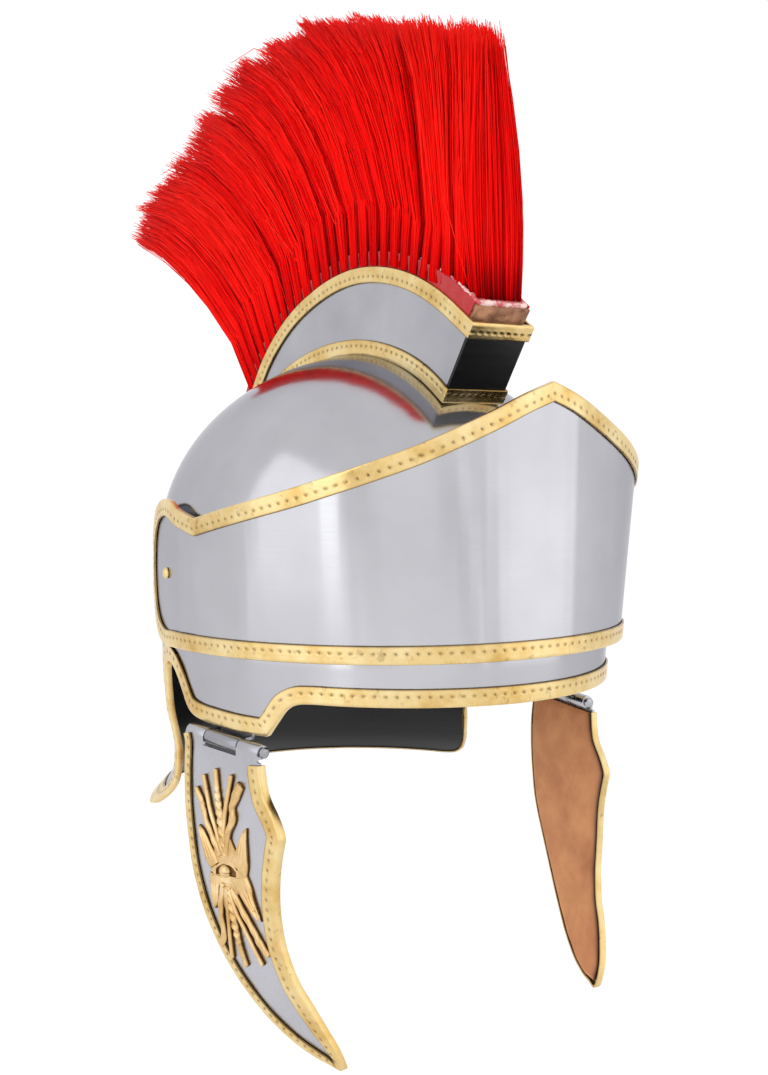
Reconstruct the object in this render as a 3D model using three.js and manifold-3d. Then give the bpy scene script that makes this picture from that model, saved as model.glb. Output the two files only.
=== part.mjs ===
// Attic helmet: steel skull, brass edged brow band, crest box with a red plume, two hinged cheek guards.
// Millimetres, +Z up, the face looks along -Y and the wearer's right is -X.
// Heights are measured from the line of the front rim. The last lines lower the whole helmet so that
// the origin is the top of the hollow, where the helmet sits on a head.
import * as THREE from "three";
import { mergeVertices } from "three/addons/utils/BufferGeometryUtils.js";
import Module from "manifold-3d";

const wasm = await Module();
wasm.setup();

// driving dimensions
const gap = 0.3; // clearance between pieces that touch
const curvedGap = 0.42; // the same under a strip that lies on a curved plate, whose flats differ
const sheet = 1.2; // steel plate
const skullHalfLength = 120.4; // outside, along the head
const skullHalfWidth = 103; // outside, across the head
const domeFoot = 57; // the wall is upright below this height
const domeRise = 94.6; // from the foot of the dome to its top
const browSlope = 0.13; // how much the forehead leans back under the brow band
const skullColumns = 64;
const neckDepth = 69; // neck guard below the rim line
const brass = { thick: 0.8, width: 6.8, fold: 1.8 }; // folded edge strip
const bandFoot = 16.8; // height of the brow band's lower edge
const lobe = { turn: 1.784, up: 47.2, radius: 33.5 }; // round end of the brow band, turned in radians
const rivet = { head: 2.7, rise: 1.9, shank: 1.4, hole: 1.8, tail: 2.2 };
const crest = { halfWidth: 16.8, lowTrim: 6.4, topTrim: 6.6, blockRise: 7 };
const hinge = { side: 101.8, back: -19.6, up: -24, plan: 0.147, slope: 0.0592, pin: 2, bore: 2.35, barrel: 3.3 };
const hingeLeaf = { outer: -6.2, top: -22, bendTop: -3, bendFoot: -1.8, bendEnd: -1.8 };
const knuckle = { rear: -21.5, rearSplit: -8.5, frontSplit: 14.8, front: 29, play: 0.4 };
const cheek = { straight: 68, bend: 0.002, sweep: 0.4, settle: 0.4, lean: 0.015 };
const cheekTrim = { rear: 5.2, front: 7.4 };
const lining = { thick: 1.5, inset: 1.4, top: 8 };
const relief = 2; // raised height of the cheek emblem
const plumeHalf = { root: 13, tip: 7.5 };
const plumeRoot = { front: 0.03, back: 0.907 }; // where the hair starts and ends, as shares of the crest

// lower edge of the skull's right half, from the temple to the back of the ear arch
const skullEdge = [
  { back: -67.5, up: -2.6 }, { back: -61, up: -3.4 }, { back: -55.5, up: -6.4 }, { back: -50.4, up: -12.7 },
  { back: -45.6, up: -18.8 },
  { back: -30, up: -18.6 }, { back: -15.5, up: -17.9 }, { back: -3, up: -17.2 }, { back: 6, up: -15.8 },
  { back: 11, up: -12.6 }, { back: 15, up: -7 }, { back: 20, up: -0.6 }, { back: 26, up: 3.9 },
  { back: 33, up: 5.4 }, { back: 40, up: 3.4 }, { back: 43.2, up: -3 }, { back: 44.3, up: -17 },
  { back: 44, up: -31 }, { back: 43.3, up: -45 }, { back: 44.6, up: -56 }, { back: 47.2, up: -61.6 },
  { back: 50, up: -65 }, { back: 54.5, up: -67.9 }, { back: 61, up: -69 },
];
// how far the neck guard draws in and flares out below the rim line
const neckShape = [
  { up: -72, out: 8 }, { up: -69, out: 5 }, { up: -61, out: -2 }, { up: -44, out: -6 }, { up: -20, out: -2.6 },
  { up: 14, out: 0 },
];
// brow band: upper edge, stand-off at the foot and outward lean, by degrees from the front
const bandShape = [
  { angle: 0, top: 131.1, foot: 3.1, lean: 0.4 }, { angle: 8, top: 125.6, foot: 3.3, lean: 0.8 },
  { angle: 20, top: 115.2, foot: 4, lean: 2 }, { angle: 33, top: 104.2, foot: 4.8, lean: 5 },
  { angle: 46, top: 94.4, foot: 5, lean: 7.6 }, { angle: 58, top: 86.6, foot: 4.6, lean: 7.4 },
  { angle: 72, top: 79.2, foot: 3.6, lean: 5 }, { angle: 86, top: 73, foot: 2.2, lean: 2 },
  { angle: 90, top: 75.6, foot: 1.9, lean: 1.4 }, { angle: 102, top: 79.9, foot: 1.2, lean: 0.4 },
  { angle: 120, top: 70, foot: 1.1, lean: 0.2 },
];
// crest box, seen from the side: outer edge from the front to the back
const crestTop = [
  { back: -91.7, up: 158.6 }, { back: -72.7, up: 171.7 }, { back: -52.5, up: 181.8 },
  { back: -30, up: 188.1 }, { back: -6, up: 190 }, { back: 18, up: 186.5 }, { back: 43, up: 177.7 },
  { back: 62, up: 166.4 }, { back: 78, up: 152 }, { back: 90, up: 135 }, { back: 98.5, up: 116.5 },
];
const crestFoot = { front: -71.2, back: 97 };
// locks of the plume: where each edge strand is rooted and where it ends
const strandTips = [
  { back: -86.3, up: 290 }, { back: -50.3, up: 300 }, { back: -10.6, up: 313.6 }, { back: 47.6, up: 324.6 },
  { back: 91, up: 322.3 }, { back: 128, up: 317.4 }, { back: 160, up: 302.5 }, { back: 190, up: 284 },
  { back: 222, up: 268 }, { back: 251, up: 256 }, { back: 250, up: 236 },
];
const lockCount = 20;
// outline of the right cheek guard: forward along the hinge pin and down from it, with the width of
// the brass edge where the point leaves less room for it
const cheekRear = [
  { along: -19.6, down: 5 }, { along: -20.1, down: 15 }, { along: -20.1, down: 24 }, { along: -19.1, down: 36 },
  { along: -16.2, down: 51.2 }, { along: -13.2, down: 62.1 }, { along: -7.6, down: 74.3 },
  { along: 0.4, down: 87.3, width: 4.6 }, { along: 10.1, down: 100, width: 4.6 },
  { along: 19.8, down: 110.1 }, { along: 31.1, down: 119.6 }, { along: 44.3, down: 127.1 },
  { along: 54.6, down: 130.4, width: 4.4 }, { along: 61.8, down: 131.4, width: 2.4 },
];
const cheekFront = [
  { along: 30.8, down: 5 }, { along: 32.3, down: 13 }, { along: 34.7, down: 19.3 }, { along: 40.9, down: 26.9 },
  { along: 44.5, down: 33.1 }, { along: 44.2, down: 36.8 }, { along: 42.9, down: 43 },
  { along: 41.8, down: 51 }, { along: 41.7, down: 61.1 }, { along: 42.7, down: 72.1 },
  { along: 44.8, down: 84.1 }, { along: 49.7, down: 96.8 }, { along: 56.5, down: 106.3 },
  { along: 62, down: 115.2, width: 6 }, { along: 66.4, down: 123.6, width: 3.6 },
];
const cheekTip = { along: 67.6, down: 131.8, width: 1 };
// winged thunderbolt on the cheek guard: centre lines along and down, from the middle outwards
const boltCentre = { along: 7.9, down: 57.9 };
const boltPieces = [
  { half: 1.9, line: [[6.8, 53], [3.2, 33.3], [0.4, 12.7]] },
  { half: 1.3, line: [[5.4, 52], [-8.7, 17.2]] },
  { half: 1.3, line: [[8.2, 52.1], [11.4, 12.9]] },
  { half: 1.5, line: [[4.5, 52], [-4.7, 39], [-9, 31], [-13.2, 24]] },
  { half: 1.5, line: [[9.2, 52.1], [11.6, 36.5], [14.5, 27.2], [18.2, 16.3]] },
  { half: 1.9, line: [[9.4, 62.6], [12.4, 72], [15.3, 80], [18, 88], [20, 95.6]] },
  { half: 1.3, line: [[8.5, 63.6], [11.6, 81], [13.2, 91]] },
  { half: 1.3, line: [[10.9, 63.6], [22.8, 81], [30.5, 92]] },
  { half: 1.5, line: [[8, 63.6], [7.4, 74.6], [9, 85]] },
  { half: 1.5, line: [[11.8, 62.7], [21.2, 72.4], [29.7, 79.8], [34.6, 88]] },
  { half: 3.2, line: [[6.1, 55.9], [-1.6, 54.6], [-6.8, 49.4], [-8.2, 42.8]] },
  { half: 3.2, line: [[8.9, 55.6], [14.8, 52.2], [19.8, 44.8], [22.1, 35.5]] },
  { half: 3.2, line: [[6.9, 59.7], [0.8, 62], [-0.2, 68.4], [3.6, 74.6]] },
  { half: 3.2, line: [[9.7, 59.8], [18.8, 60.1], [26.7, 65.1], [30.2, 72.6]] },
];

const steelFinish = { color: 0xc4c3c8, metalness: 0.9, roughness: 0.3 };
const brassFinish = { color: 0xdcbb66, metalness: 0.9, roughness: 0.35 };
const finishes = {
  skull: steelFinish,
  band: { ...steelFinish, color: 0xcac9ce },
  brass: brassFinish,
  black: { color: 0x1c1c1e, metalness: 0.1, roughness: 0.5 },
  block: { color: 0x9a6648, metalness: 0, roughness: 0.75 },
  tape: { color: 0xb8141e, metalness: 0, roughness: 0.8 },
  hair: { color: 0xdd1410, metalness: 0, roughness: 0.7 },
  pin: { ...steelFinish, color: 0xb4b3b8 },
  leather: { color: 0xb07a50, metalness: 0, roughness: 0.65 },
};

const helmet = new THREE.Group();
const rightAndLeft = [{ name: "right", sign: -1 }, { name: "left", sign: 1 }];

// value of a column in a table, read off straight lines between its rows
function readOff(rows, from, at, column) {
  const upward = rows[0][from] < rows[rows.length - 1][from];
  const ordered = upward ? rows : [...rows].reverse();
  if (at <= ordered[0][from]) return ordered[0][column];
  const next = ordered.findIndex((row) => row[from] >= at);
  if (next < 0) return ordered[ordered.length - 1][column];
  const share = (at - ordered[next - 1][from]) / (ordered[next][from] - ordered[next - 1][from]);
  return THREE.MathUtils.lerp(ordered[next - 1][column], ordered[next][column], share);
}

function signedVolume(points, faces) {
  const cross = new THREE.Vector3();
  return faces.reduce((sum, [a, b, c]) => sum + points[a].dot(cross.crossVectors(points[b], points[c])), 0);
}

// closed solid from points and triangles, turned so that its faces point out
function closedSolid(points, faces) {
  const outward = signedVolume(points, faces) > 0 ? faces : faces.map(([a, b, c]) => [a, c, b]);
  const geometry = new THREE.BufferGeometry();
  geometry.setAttribute("position", new THREE.Float32BufferAttribute(points.flatMap((p) => p.toArray()), 3));
  geometry.setIndex(outward.flat());
  return geometry;
}

// skin between sections that have the same number of points; open ends get flat caps
function loft(sections, { loop = false, cap = null } = {}) {
  const size = sections[0].length;
  const faces = [];
  const count = loop ? sections.length : sections.length - 1;
  for (let i = 0; i < count; i += 1) {
    const here = i * size;
    const there = ((i + 1) % sections.length) * size;
    for (let k = 0; k < size; k += 1) {
      const next = (k + 1) % size;
      faces.push([here + k, here + next, there + next], [here + k, there + next, there + k]);
    }
  }
  if (!loop) {
    const outline = cap ?? sections[0].map((_, k) => circlePoint(k / size));
    const last = (sections.length - 1) * size;
    const tiles = THREE.ShapeUtils.triangulateShape(outline, []);
    // the start cap runs against the skin's first edges, and the end cap along its last ones
    const clockwise = THREE.ShapeUtils.area(outline) < 0;
    for (const [a, b, c] of tiles) {
      faces.push(clockwise ? [a, b, c] : [a, c, b]);
      faces.push(clockwise ? [last + a, last + c, last + b] : [last + a, last + b, last + c]);
    }
  }
  return closedSolid(sections.flat(), faces);
}

function circlePoint(share) {
  return new THREE.Vector2(Math.cos(share * 2 * Math.PI), Math.sin(share * 2 * Math.PI));
}

// the same solid for joining and cutting
function asManifold(geometry) {
  const bare = geometry.clone();
  bare.deleteAttribute("normal");
  bare.deleteAttribute("uv");
  const merged = mergeVertices(bare, 1e-4);
  const vertProperties = new Float32Array(merged.attributes.position.array);
  const triVerts = new Uint32Array(merged.index.array);
  return new wasm.Manifold(new wasm.Mesh({ numProp: 3, vertProperties, triVerts }));
}

function asGeometry(solid) {
  const mesh = solid.getMesh();
  const geometry = new THREE.BufferGeometry();
  geometry.setAttribute("position", new THREE.Float32BufferAttribute(mesh.vertProperties, 3));
  geometry.setIndex(new THREE.Uint32BufferAttribute(mesh.triVerts, 1));
  return geometry;
}

function addPiece(name, geometry, finish) {
  geometry.computeVertexNormals();
  const mesh = new THREE.Mesh(geometry, new THREE.MeshStandardMaterial({ ...finish }));
  mesh.name = name;
  helmet.add(mesh);
  return mesh;
}

// bar of round or square section between two points
function bar(from, to, radius, sides) {
  const geometry = new THREE.CylinderGeometry(radius, radius, from.distanceTo(to), sides);
  const along = to.clone().sub(from).normalize();
  geometry.applyQuaternion(new THREE.Quaternion().setFromUnitVectors(new THREE.Vector3(0, 1, 0), along));
  return geometry.translate(...from.clone().add(to).multiplyScalar(0.5).toArray());
}

// Skull surface. turn is the angle from the front, positive to the wearer's right.
// The plan is an ellipse, upright to the foot of the dome and then closing over as a quarter ellipse.
// The front leans back under the brow band, and the neck guard draws in and flares.
function skullPoint(turn, up, out = 0) {
  const rise = domeRise + out;
  const climb = THREE.MathUtils.clamp((up - domeFoot) / rise, 0, 1);
  const close = Math.sqrt(1 - climb ** 2);
  const frontShare = THREE.MathUtils.smoothstep(up, 30, 110) * browSlope;
  const front = Math.cos(turn) > 0 ? 1 - frontShare : 1;
  const flare = up < 14 ? readOff(neckShape, "up", up, "out") : 0;
  const across = (skullHalfWidth + out + flare) * close;
  const along = (skullHalfLength * front + out + flare) * close;
  return new THREE.Vector3(-across * Math.sin(turn), -along * Math.cos(turn), up);
}

// height of the dome over a point of the plan
function domeHeight(x, y) {
  let up = domeFoot + domeRise;
  for (let step = 0; step < 12; step += 1) {
    const front = y < 0 ? 1 - THREE.MathUtils.smoothstep(up, 30, 110) * browSlope : 1;
    const reach = (x / skullHalfWidth) ** 2 + (y / (skullHalfLength * front)) ** 2;
    up = domeFoot + domeRise * Math.sqrt(Math.max(0, 1 - reach));
  }
  return up;
}

const turnOf = (back) => Math.acos(-back / skullHalfLength);
// millimetres along the wall for each radian of turn
const girth = (turn) => Math.hypot(skullHalfWidth * Math.cos(turn), skullHalfLength * Math.sin(turn));

// Folded brass strip along the edge of a curved plate. The edge is a list of {turn, up} on the plate,
// and place(turn, up, out) gives the point in space. The strip lies on the outside and turns over the
// edge. It reaches inwards to the left of the way the edge runs.
function edgeStrip(edge, place, scale, { loop, width = brass.width, depth = brass.fold }) {
  const { thick } = brass;
  const profile = [
    [-gap - thick, -depth], [-gap - thick, curvedGap + thick], [width, curvedGap + thick],
    [width, curvedGap], [-gap, curvedGap], [-gap, -depth],
  ];
  const sections = edge.map((point, i) => {
    const before = edge[loop ? (i + edge.length - 1) % edge.length : Math.max(0, i - 1)];
    const after = edge[loop ? (i + 1) % edge.length : Math.min(edge.length - 1, i + 1)];
    const per = scale(point.turn);
    const inward = [[before, point], [point, after]].map(([a, b]) => {
      const turned = loop ? Math.atan2(Math.sin(b.turn - a.turn), Math.cos(b.turn - a.turn)) : b.turn - a.turn;
      const way = new THREE.Vector2(turned * per, b.up - a.up).normalize();
      return new THREE.Vector2(-way.y, way.x);
    });
    const mid = inward[0].clone().add(inward[1]).normalize();
    // at a corner the strip reaches further along the middle line, so that its sides stay as wide
    mid.divideScalar(Math.max(0.55, mid.dot(inward[1].lengthSq() > 0 ? inward[1] : inward[0])));
    const across = (reach) => (reach === width && point.width ? point.width : reach);
    return profile.map(([reach, out]) => place(
      point.turn + (mid.x * across(reach)) / per, point.up + mid.y * across(reach), out,
    ));
  });
  return loft(sections, { loop, cap: profile.map(([a, b]) => new THREE.Vector2(a, b)) });
}

// heights of the rows of the skull: neck guard, wall and dome
function skullRows() {
  const neck = [-neckDepth, -61, -44, -20];
  const dome = [0, 0.26, 0.5, 0.71, 0.87, 0.966].map((share) => domeFoot + domeRise * share);
  return [...neck, 14, ...dome];
}

function makeSkull() {
  const rows = skullRows();
  const turns = Array.from({ length: skullColumns }, (_, i) => (i / skullColumns) * 2 * Math.PI);
  const outer = rows.map((up) => turns.map((turn) => skullPoint(turn, up)));
  const inner = rows.map((up) => turns.map((turn) => {
    const lowered = up > domeFoot ? domeFoot + ((up - domeFoot) * (domeRise - sheet)) / domeRise : up;
    return skullPoint(turn, lowered, -sheet);
  }));
  const rings = [...outer.reverse(), ...inner];
  const points = [...rings.flat(), new THREE.Vector3(0, 0, domeFoot + domeRise)];
  points.push(new THREE.Vector3(0, 0, domeFoot + domeRise - sheet));
  const faces = [];
  const last = (rings.length - 1) * skullColumns;
  for (let k = 0; k < skullColumns; k += 1) {
    const next = (k + 1) % skullColumns;
    for (let i = 0; i < rings.length - 1; i += 1) {
      const a = i * skullColumns;
      const b = a + skullColumns;
      faces.push([a + k, a + next, b + next], [a + k, b + next, b + k]);
    }
    faces.push([points.length - 2, next, k], [points.length - 1, last + k, last + next]);
  }
  const cutters = [frontCutter(), slotCutter(1), slotCutter(-1), rivetHole(1), rivetHole(-1)];
  const shell = asManifold(closedSolid(points, faces));
  const skull = cutters.reduce((rest, cutter) => rest.subtract(asManifold(cutter)), shell);
  addPiece("skull", asGeometry(skull), finishes.skull);
}

const cutReach = { edge: 5, out: 20, below: -neckDepth - 13 };
const archTop = skullEdge.findIndex((row) => row.up === Math.max(...skullEdge.map(({ up }) => up)));

// what is cut away below the front rim and the hinge edges, square to the wall
function frontCutter() {
  const right = skullEdge.slice(0, archTop + 1).map((row) => ({ turn: turnOf(row.back), up: row.up }));
  const front = [0, 11.25, 22.5, 33.75, 45].map((angle) => (
    { turn: THREE.MathUtils.degToRad(angle), up: skullEdge[0].up }
  ));
  const half = [...front, ...right];
  const edge = [...half.slice(1).reverse().map(({ turn, up }) => ({ turn: -turn, up })), ...half];
  return loft(edge.map(({ turn, up }) => [
    skullPoint(turn, up, cutReach.edge), skullPoint(turn, cutReach.below, cutReach.out),
    skullPoint(turn, cutReach.below, -cutReach.out), skullPoint(turn, up, -cutReach.edge),
  ]));
}

// the slot between the hinge edge and the neck guard, below the ear arch, square to the wall
function slotCutter(sign) {
  const rear = [...skullEdge.slice(archTop), { back: skullEdge[skullEdge.length - 1].back, up: cutReach.below }];
  const front = skullEdge.slice(0, archTop + 1).filter((row) => row.back > 0);
  return loft(rear.map(({ back, up }, i) => {
    const start = i === 0 ? back - 0.1 : Math.max(12, readOff(front, "up", up, "back"));
    return [[start, 1], [back, 1], [back, -1], [start, -1]].map(([at, way]) => (
      skullPoint(sign * turnOf(at), up, way * cutReach.out)
    ));
  }));
}

// the skull's lower edge, once round from the front over the right side, the neck and the left side
function skullEdgeLoop() {
  const step = (2 * Math.PI) / skullColumns;
  const front = Array.from({ length: 10 }, (_, i) => ({ turn: i * step, up: skullEdge[0].up }));
  const side = skullEdge.map((row) => ({ turn: turnOf(row.back), up: row.up }));
  const neck = Array.from({ length: 11 }, (_, i) => ({ turn: (22 + i) * step, up: -neckDepth }));
  const right = [...front, ...side, ...neck];
  const left = right.slice(1, -1).reverse().map(({ turn, up }) => ({ turn: 2 * Math.PI - turn, up }));
  return [...right, ...left];
}

function makeRimTrim() {
  const edge = skullEdgeLoop();
  // turn runs to the right and up is up, so the plate is on the left of the way round
  addPiece("rim_trim", edgeStrip(edge, skullPoint, girth, { loop: true }), finishes.brass);
}

// brow band surface: an upright wall that stands off from the skull and leans out towards the top
function bandPoint(turn, up, out = 0) {
  const angle = Math.abs(THREE.MathUtils.radToDeg(turn));
  const foot = readOff(bandShape, "angle", angle, "foot");
  const lean = readOff(bandShape, "angle", angle, "lean");
  const off = foot + sheet + (lean * Math.max(0, up - bandFoot)) / 80 + out;
  return new THREE.Vector3(
    -(skullHalfWidth + off) * Math.sin(turn), -(skullHalfLength + off) * Math.cos(turn), up,
  );
}

const bandLow = (turn) => bandFoot - 0.85 * Math.min(turn, 1.8) ** 2;

// Columns of the right half of the brow band, each with its upper and lower edge: straight stretches
// from the front to the notch, then the lobe, by angles round the rivet counted from straight up.
function bandColumns() {
  const straight = [0, 8, 16, 24, 33, 42, 50, 58, 68, 78, 86].map((angle) => {
    const turn = THREE.MathUtils.degToRad(angle);
    return { turn, top: readOff(bandShape, "angle", angle, "top"), low: bandLow(turn) };
  });
  const round = [-0.5, -0.2, 0.1, 0.45, 0.8, 1.15, Math.PI / 2].map((angle) => {
    const turn = lobe.turn + (Math.sin(angle) * lobe.radius) / girth(lobe.turn);
    const rise = Math.max(0.3, Math.cos(angle) * lobe.radius);
    return { turn, top: lobe.up + rise, low: angle < 0 ? bandLow(turn) : lobe.up - rise };
  });
  return [...straight, ...round];
}

function makeBrowBand() {
  const right = bandColumns();
  const columns = [...right.slice(1).reverse().map((c) => ({ ...c, turn: -c.turn })), ...right];
  const rowShares = [0, 0.33, 0.67, 1];
  const sections = columns.map(({ turn, top, low }) => {
    const heights = rowShares.map((share) => THREE.MathUtils.lerp(low, top, share));
    const inside = heights.map((up) => bandPoint(turn, up, -sheet));
    const outside = [...heights].reverse().map((up) => bandPoint(turn, up));
    return [...inside, ...outside];
  });
  const cap = rowShares.map((share) => new THREE.Vector2(0, share))
    .concat([...rowShares].reverse().map((share) => new THREE.Vector2(1, share)));
  const holes = [rivetHole(1), rivetHole(-1)].map(asManifold);
  const band = holes.reduce((rest, hole) => rest.subtract(hole), asManifold(loft(sections, { cap })));
  addPiece("brow_band", asGeometry(band), finishes.band);
}

function makeBandTrim() {
  const columns = bandColumns();
  const tip = columns[columns.length - 1];
  const low = columns.slice(0, -1).map(({ turn, low: up }) => ({ turn, up }));
  const top = columns.slice(0, -1).map(({ turn, top: up }) => ({ turn, up }));
  const right = [...low, { turn: tip.turn, up: lobe.up }, ...top.reverse()];
  const left = right.slice(1, -1).reverse().map(({ turn, up }) => ({ turn: -turn, up }));
  addPiece("band_trim", edgeStrip([...right, ...left], bandPoint, girth, { loop: true }), finishes.brass);
}

// line square to the wall through the middle of a lobe
function rivetLine(sign) {
  const turn = lobe.turn * sign;
  const seat = bandPoint(turn, lobe.up, gap);
  const inside = skullPoint(turn, lobe.up, -sheet - gap);
  return { seat, inside, out: seat.clone().sub(inside).normalize() };
}

function rivetHole(sign) {
  const { seat, inside, out } = rivetLine(sign);
  return bar(inside.clone().addScaledVector(out, -4), seat.clone().addScaledVector(out, 4), rivet.hole, 10);
}

function makeRivets() {
  for (const { name, sign } of rightAndLeft) {
    const { seat, inside, out } = rivetLine(-sign);
    const reach = seat.distanceTo(inside);
    const profile = [
      [0, -1], [rivet.tail, -1], [rivet.tail, 0], [rivet.shank, 0], [rivet.shank, reach], [rivet.head, reach],
      [rivet.head * 0.8, reach + rivet.rise * 0.6], [0, reach + rivet.rise],
    ].map(([r, along]) => new THREE.Vector2(r, along));
    const geometry = new THREE.LatheGeometry(profile, 8);
    geometry.applyQuaternion(new THREE.Quaternion().setFromUnitVectors(new THREE.Vector3(0, 1, 0), out));
    const solid = asManifold(geometry.translate(...inside.toArray()));
    addPiece(`band_rivet_${name}`, asGeometry(solid), finishes.brass);
  }
}

// crest box, seen from the side
const crestCurve = new THREE.SplineCurve(crestTop.map((row) => new THREE.Vector2(row.back, row.up)));

// the box's foot follows the dome, with a little more room at the front
function crestFootUp(back, x) {
  const frontRoom = THREE.MathUtils.smoothstep(-back, 20, 75) * 1.2;
  return domeHeight(x, back) + 0.5 + frontRoom;
}

// stations from the front to the back, each with the box's upper and lower edge
function crestStations(count, x) {
  return Array.from({ length: count }, (_, i) => {
    const share = i / (count - 1);
    const top = crestCurve.getPoint(share);
    const footBack = THREE.MathUtils.lerp(crestFoot.front, crestFoot.back, share);
    return { top, foot: new THREE.Vector2(footBack, crestFootUp(footBack, x)) };
  });
}

// slab of the crest's side outline between two distances from the middle plane
function crestSlab(stations, low, high) {
  const sections = stations.map(({ top, foot }) => [
    new THREE.Vector3(low, foot.x, foot.y), new THREE.Vector3(high, foot.x, foot.y),
    new THREE.Vector3(high, top.x, top.y), new THREE.Vector3(low, top.x, top.y),
  ]);
  return loft(sections);
}

function makeCrestBox() {
  const plates = crestStations(17, crest.halfWidth - sheet);
  for (const { name, sign } of rightAndLeft) {
    const near = sign * (crest.halfWidth - sheet);
    addPiece(`crest_side_${name}`, crestSlab(plates, near, sign * crest.halfWidth), finishes.skull);
  }
  // front plate, parallel to the sloping front ends of the side plates
  const { top, foot } = plates[0];
  const ahead = new THREE.Vector2(foot.y - top.y, top.x - foot.x).normalize();
  const place = (point, step) => point.clone().addScaledVector(ahead, step);
  // the dome is higher in the middle than under the side plates, so the front plate ends above them
  const middleRise = crestFootUp(foot.x, 0) - foot.y;
  const lowCorner = foot.clone().lerp(top, (middleRise + 0.4) / (top.y - foot.y));
  const section = [place(lowCorner, gap), place(lowCorner, gap + sheet), place(top, gap + sheet), place(top, gap)];
  const ends = [-crest.halfWidth, crest.halfWidth].map((x) => section.map((p) => new THREE.Vector3(x, p.x, p.y)));
  addPiece("crest_front_plate", loft(ends), finishes.black);
}

// a step outwards from the crest's outer edge, square to it
function aboveCrest(share, step) {
  const way = crestCurve.getTangent(share);
  return crestCurve.getPoint(share).add(new THREE.Vector2(-way.y, way.x).multiplyScalar(step));
}

function makeCrestBlock() {
  const half = crest.halfWidth - sheet - gap;
  const inner = crestStations(17, 0).map(({ foot }, i) => ({
    top: aboveCrest(Math.min(1, i / 16), crest.blockRise * (i < 16 ? 1 : 0.6)), foot,
  }));
  addPiece("crest_block", crestSlab(inner, -half, half), finishes.block);
}

// tape folded over the part of the block that stands out of the box
function makePlumeTape() {
  const half = crest.halfWidth - sheet - gap;
  const outer = half + 1;
  const sections = Array.from({ length: 16 }, (_, i) => {
    const share = 0.012 + (0.9 * i) / 15;
    const low = aboveCrest(share, 1.2);
    const top = aboveCrest(share, crest.blockRise + gap);
    const crown = aboveCrest(share, crest.blockRise + gap + 0.9);
    return [
      [-half - gap, low], [-outer, low], [-outer, crown], [outer, crown], [outer, low],
      [half + gap, low], [half + gap, top], [-half - gap, top],
    ].map(([x, p]) => new THREE.Vector3(x, p.x, p.y));
  });
  const cap = [[-3, 0], [-4, 0], [-4, 3], [4, 3], [4, 0], [3, 0], [3, 2], [-3, 2]];
  addPiece("plume_tape", loft(sections, { cap: cap.map(([a, b]) => new THREE.Vector2(a, b)) }), finishes.tape);
}

// brass strip along both side plates and across the front, as one band bent round two corners
function crestStrip(name, edgeAt, inwardAt, width) {
  const count = 15;
  const side = crest.halfWidth + gap;
  const across = [gap, gap + brass.thick];
  const path = [];
  for (let i = count - 1; i >= 0; i -= 1) path.push({ share: i / (count - 1), sign: -1 });
  for (let i = 0; i < count; i += 1) path.push({ share: i / (count - 1), sign: 1 });
  const sections = path.map(({ share, sign }) => {
    const edge = edgeAt(share);
    const inward = inwardAt(share);
    const ahead = share === 0 ? frontAhead() : new THREE.Vector2(0, 0);
    return [[0, across[0]], [0, across[1]], [width, across[1]], [width, across[0]]].map(([reach, off]) => {
      const point = edge.clone().addScaledVector(inward, reach).addScaledVector(ahead, off + gap + sheet);
      return new THREE.Vector3(sign * (side - gap + off), point.x, point.y);
    });
  });
  addPiece(name, loft(sections), finishes.brass);
}

// the way the crest's sloping front faces, in the side view
function frontAhead() {
  const { top, foot } = crestStations(2, crest.halfWidth)[0];
  return new THREE.Vector2(foot.y - top.y, top.x - foot.x).normalize();
}

function makeCrestTrims() {
  const inwardTop = (share) => {
    const way = crestCurve.getTangent(share);
    const { top, foot } = crestStations(2, crest.halfWidth)[0];
    return share === 0 ? foot.clone().sub(top).normalize() : new THREE.Vector2(way.y, -way.x);
  };
  crestStrip("crest_trim_top", (share) => crestCurve.getPoint(share * 0.985), inwardTop, crest.topTrim);
  const footAt = (share) => {
    const back = THREE.MathUtils.lerp(crestFoot.front, 78, share);
    return new THREE.Vector2(back, crestFootUp(back, crest.halfWidth) + 0.2);
  };
  const inwardFoot = (share) => {
    if (share === 0) return inwardTop(0).negate();
    const way = footAt(Math.min(1, share + 0.01)).sub(footAt(share - 0.01));
    return new THREE.Vector2(-way.y, way.x).normalize();
  };
  crestStrip("crest_trim_bottom", footAt, inwardFoot, crest.lowTrim);
}

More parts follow.
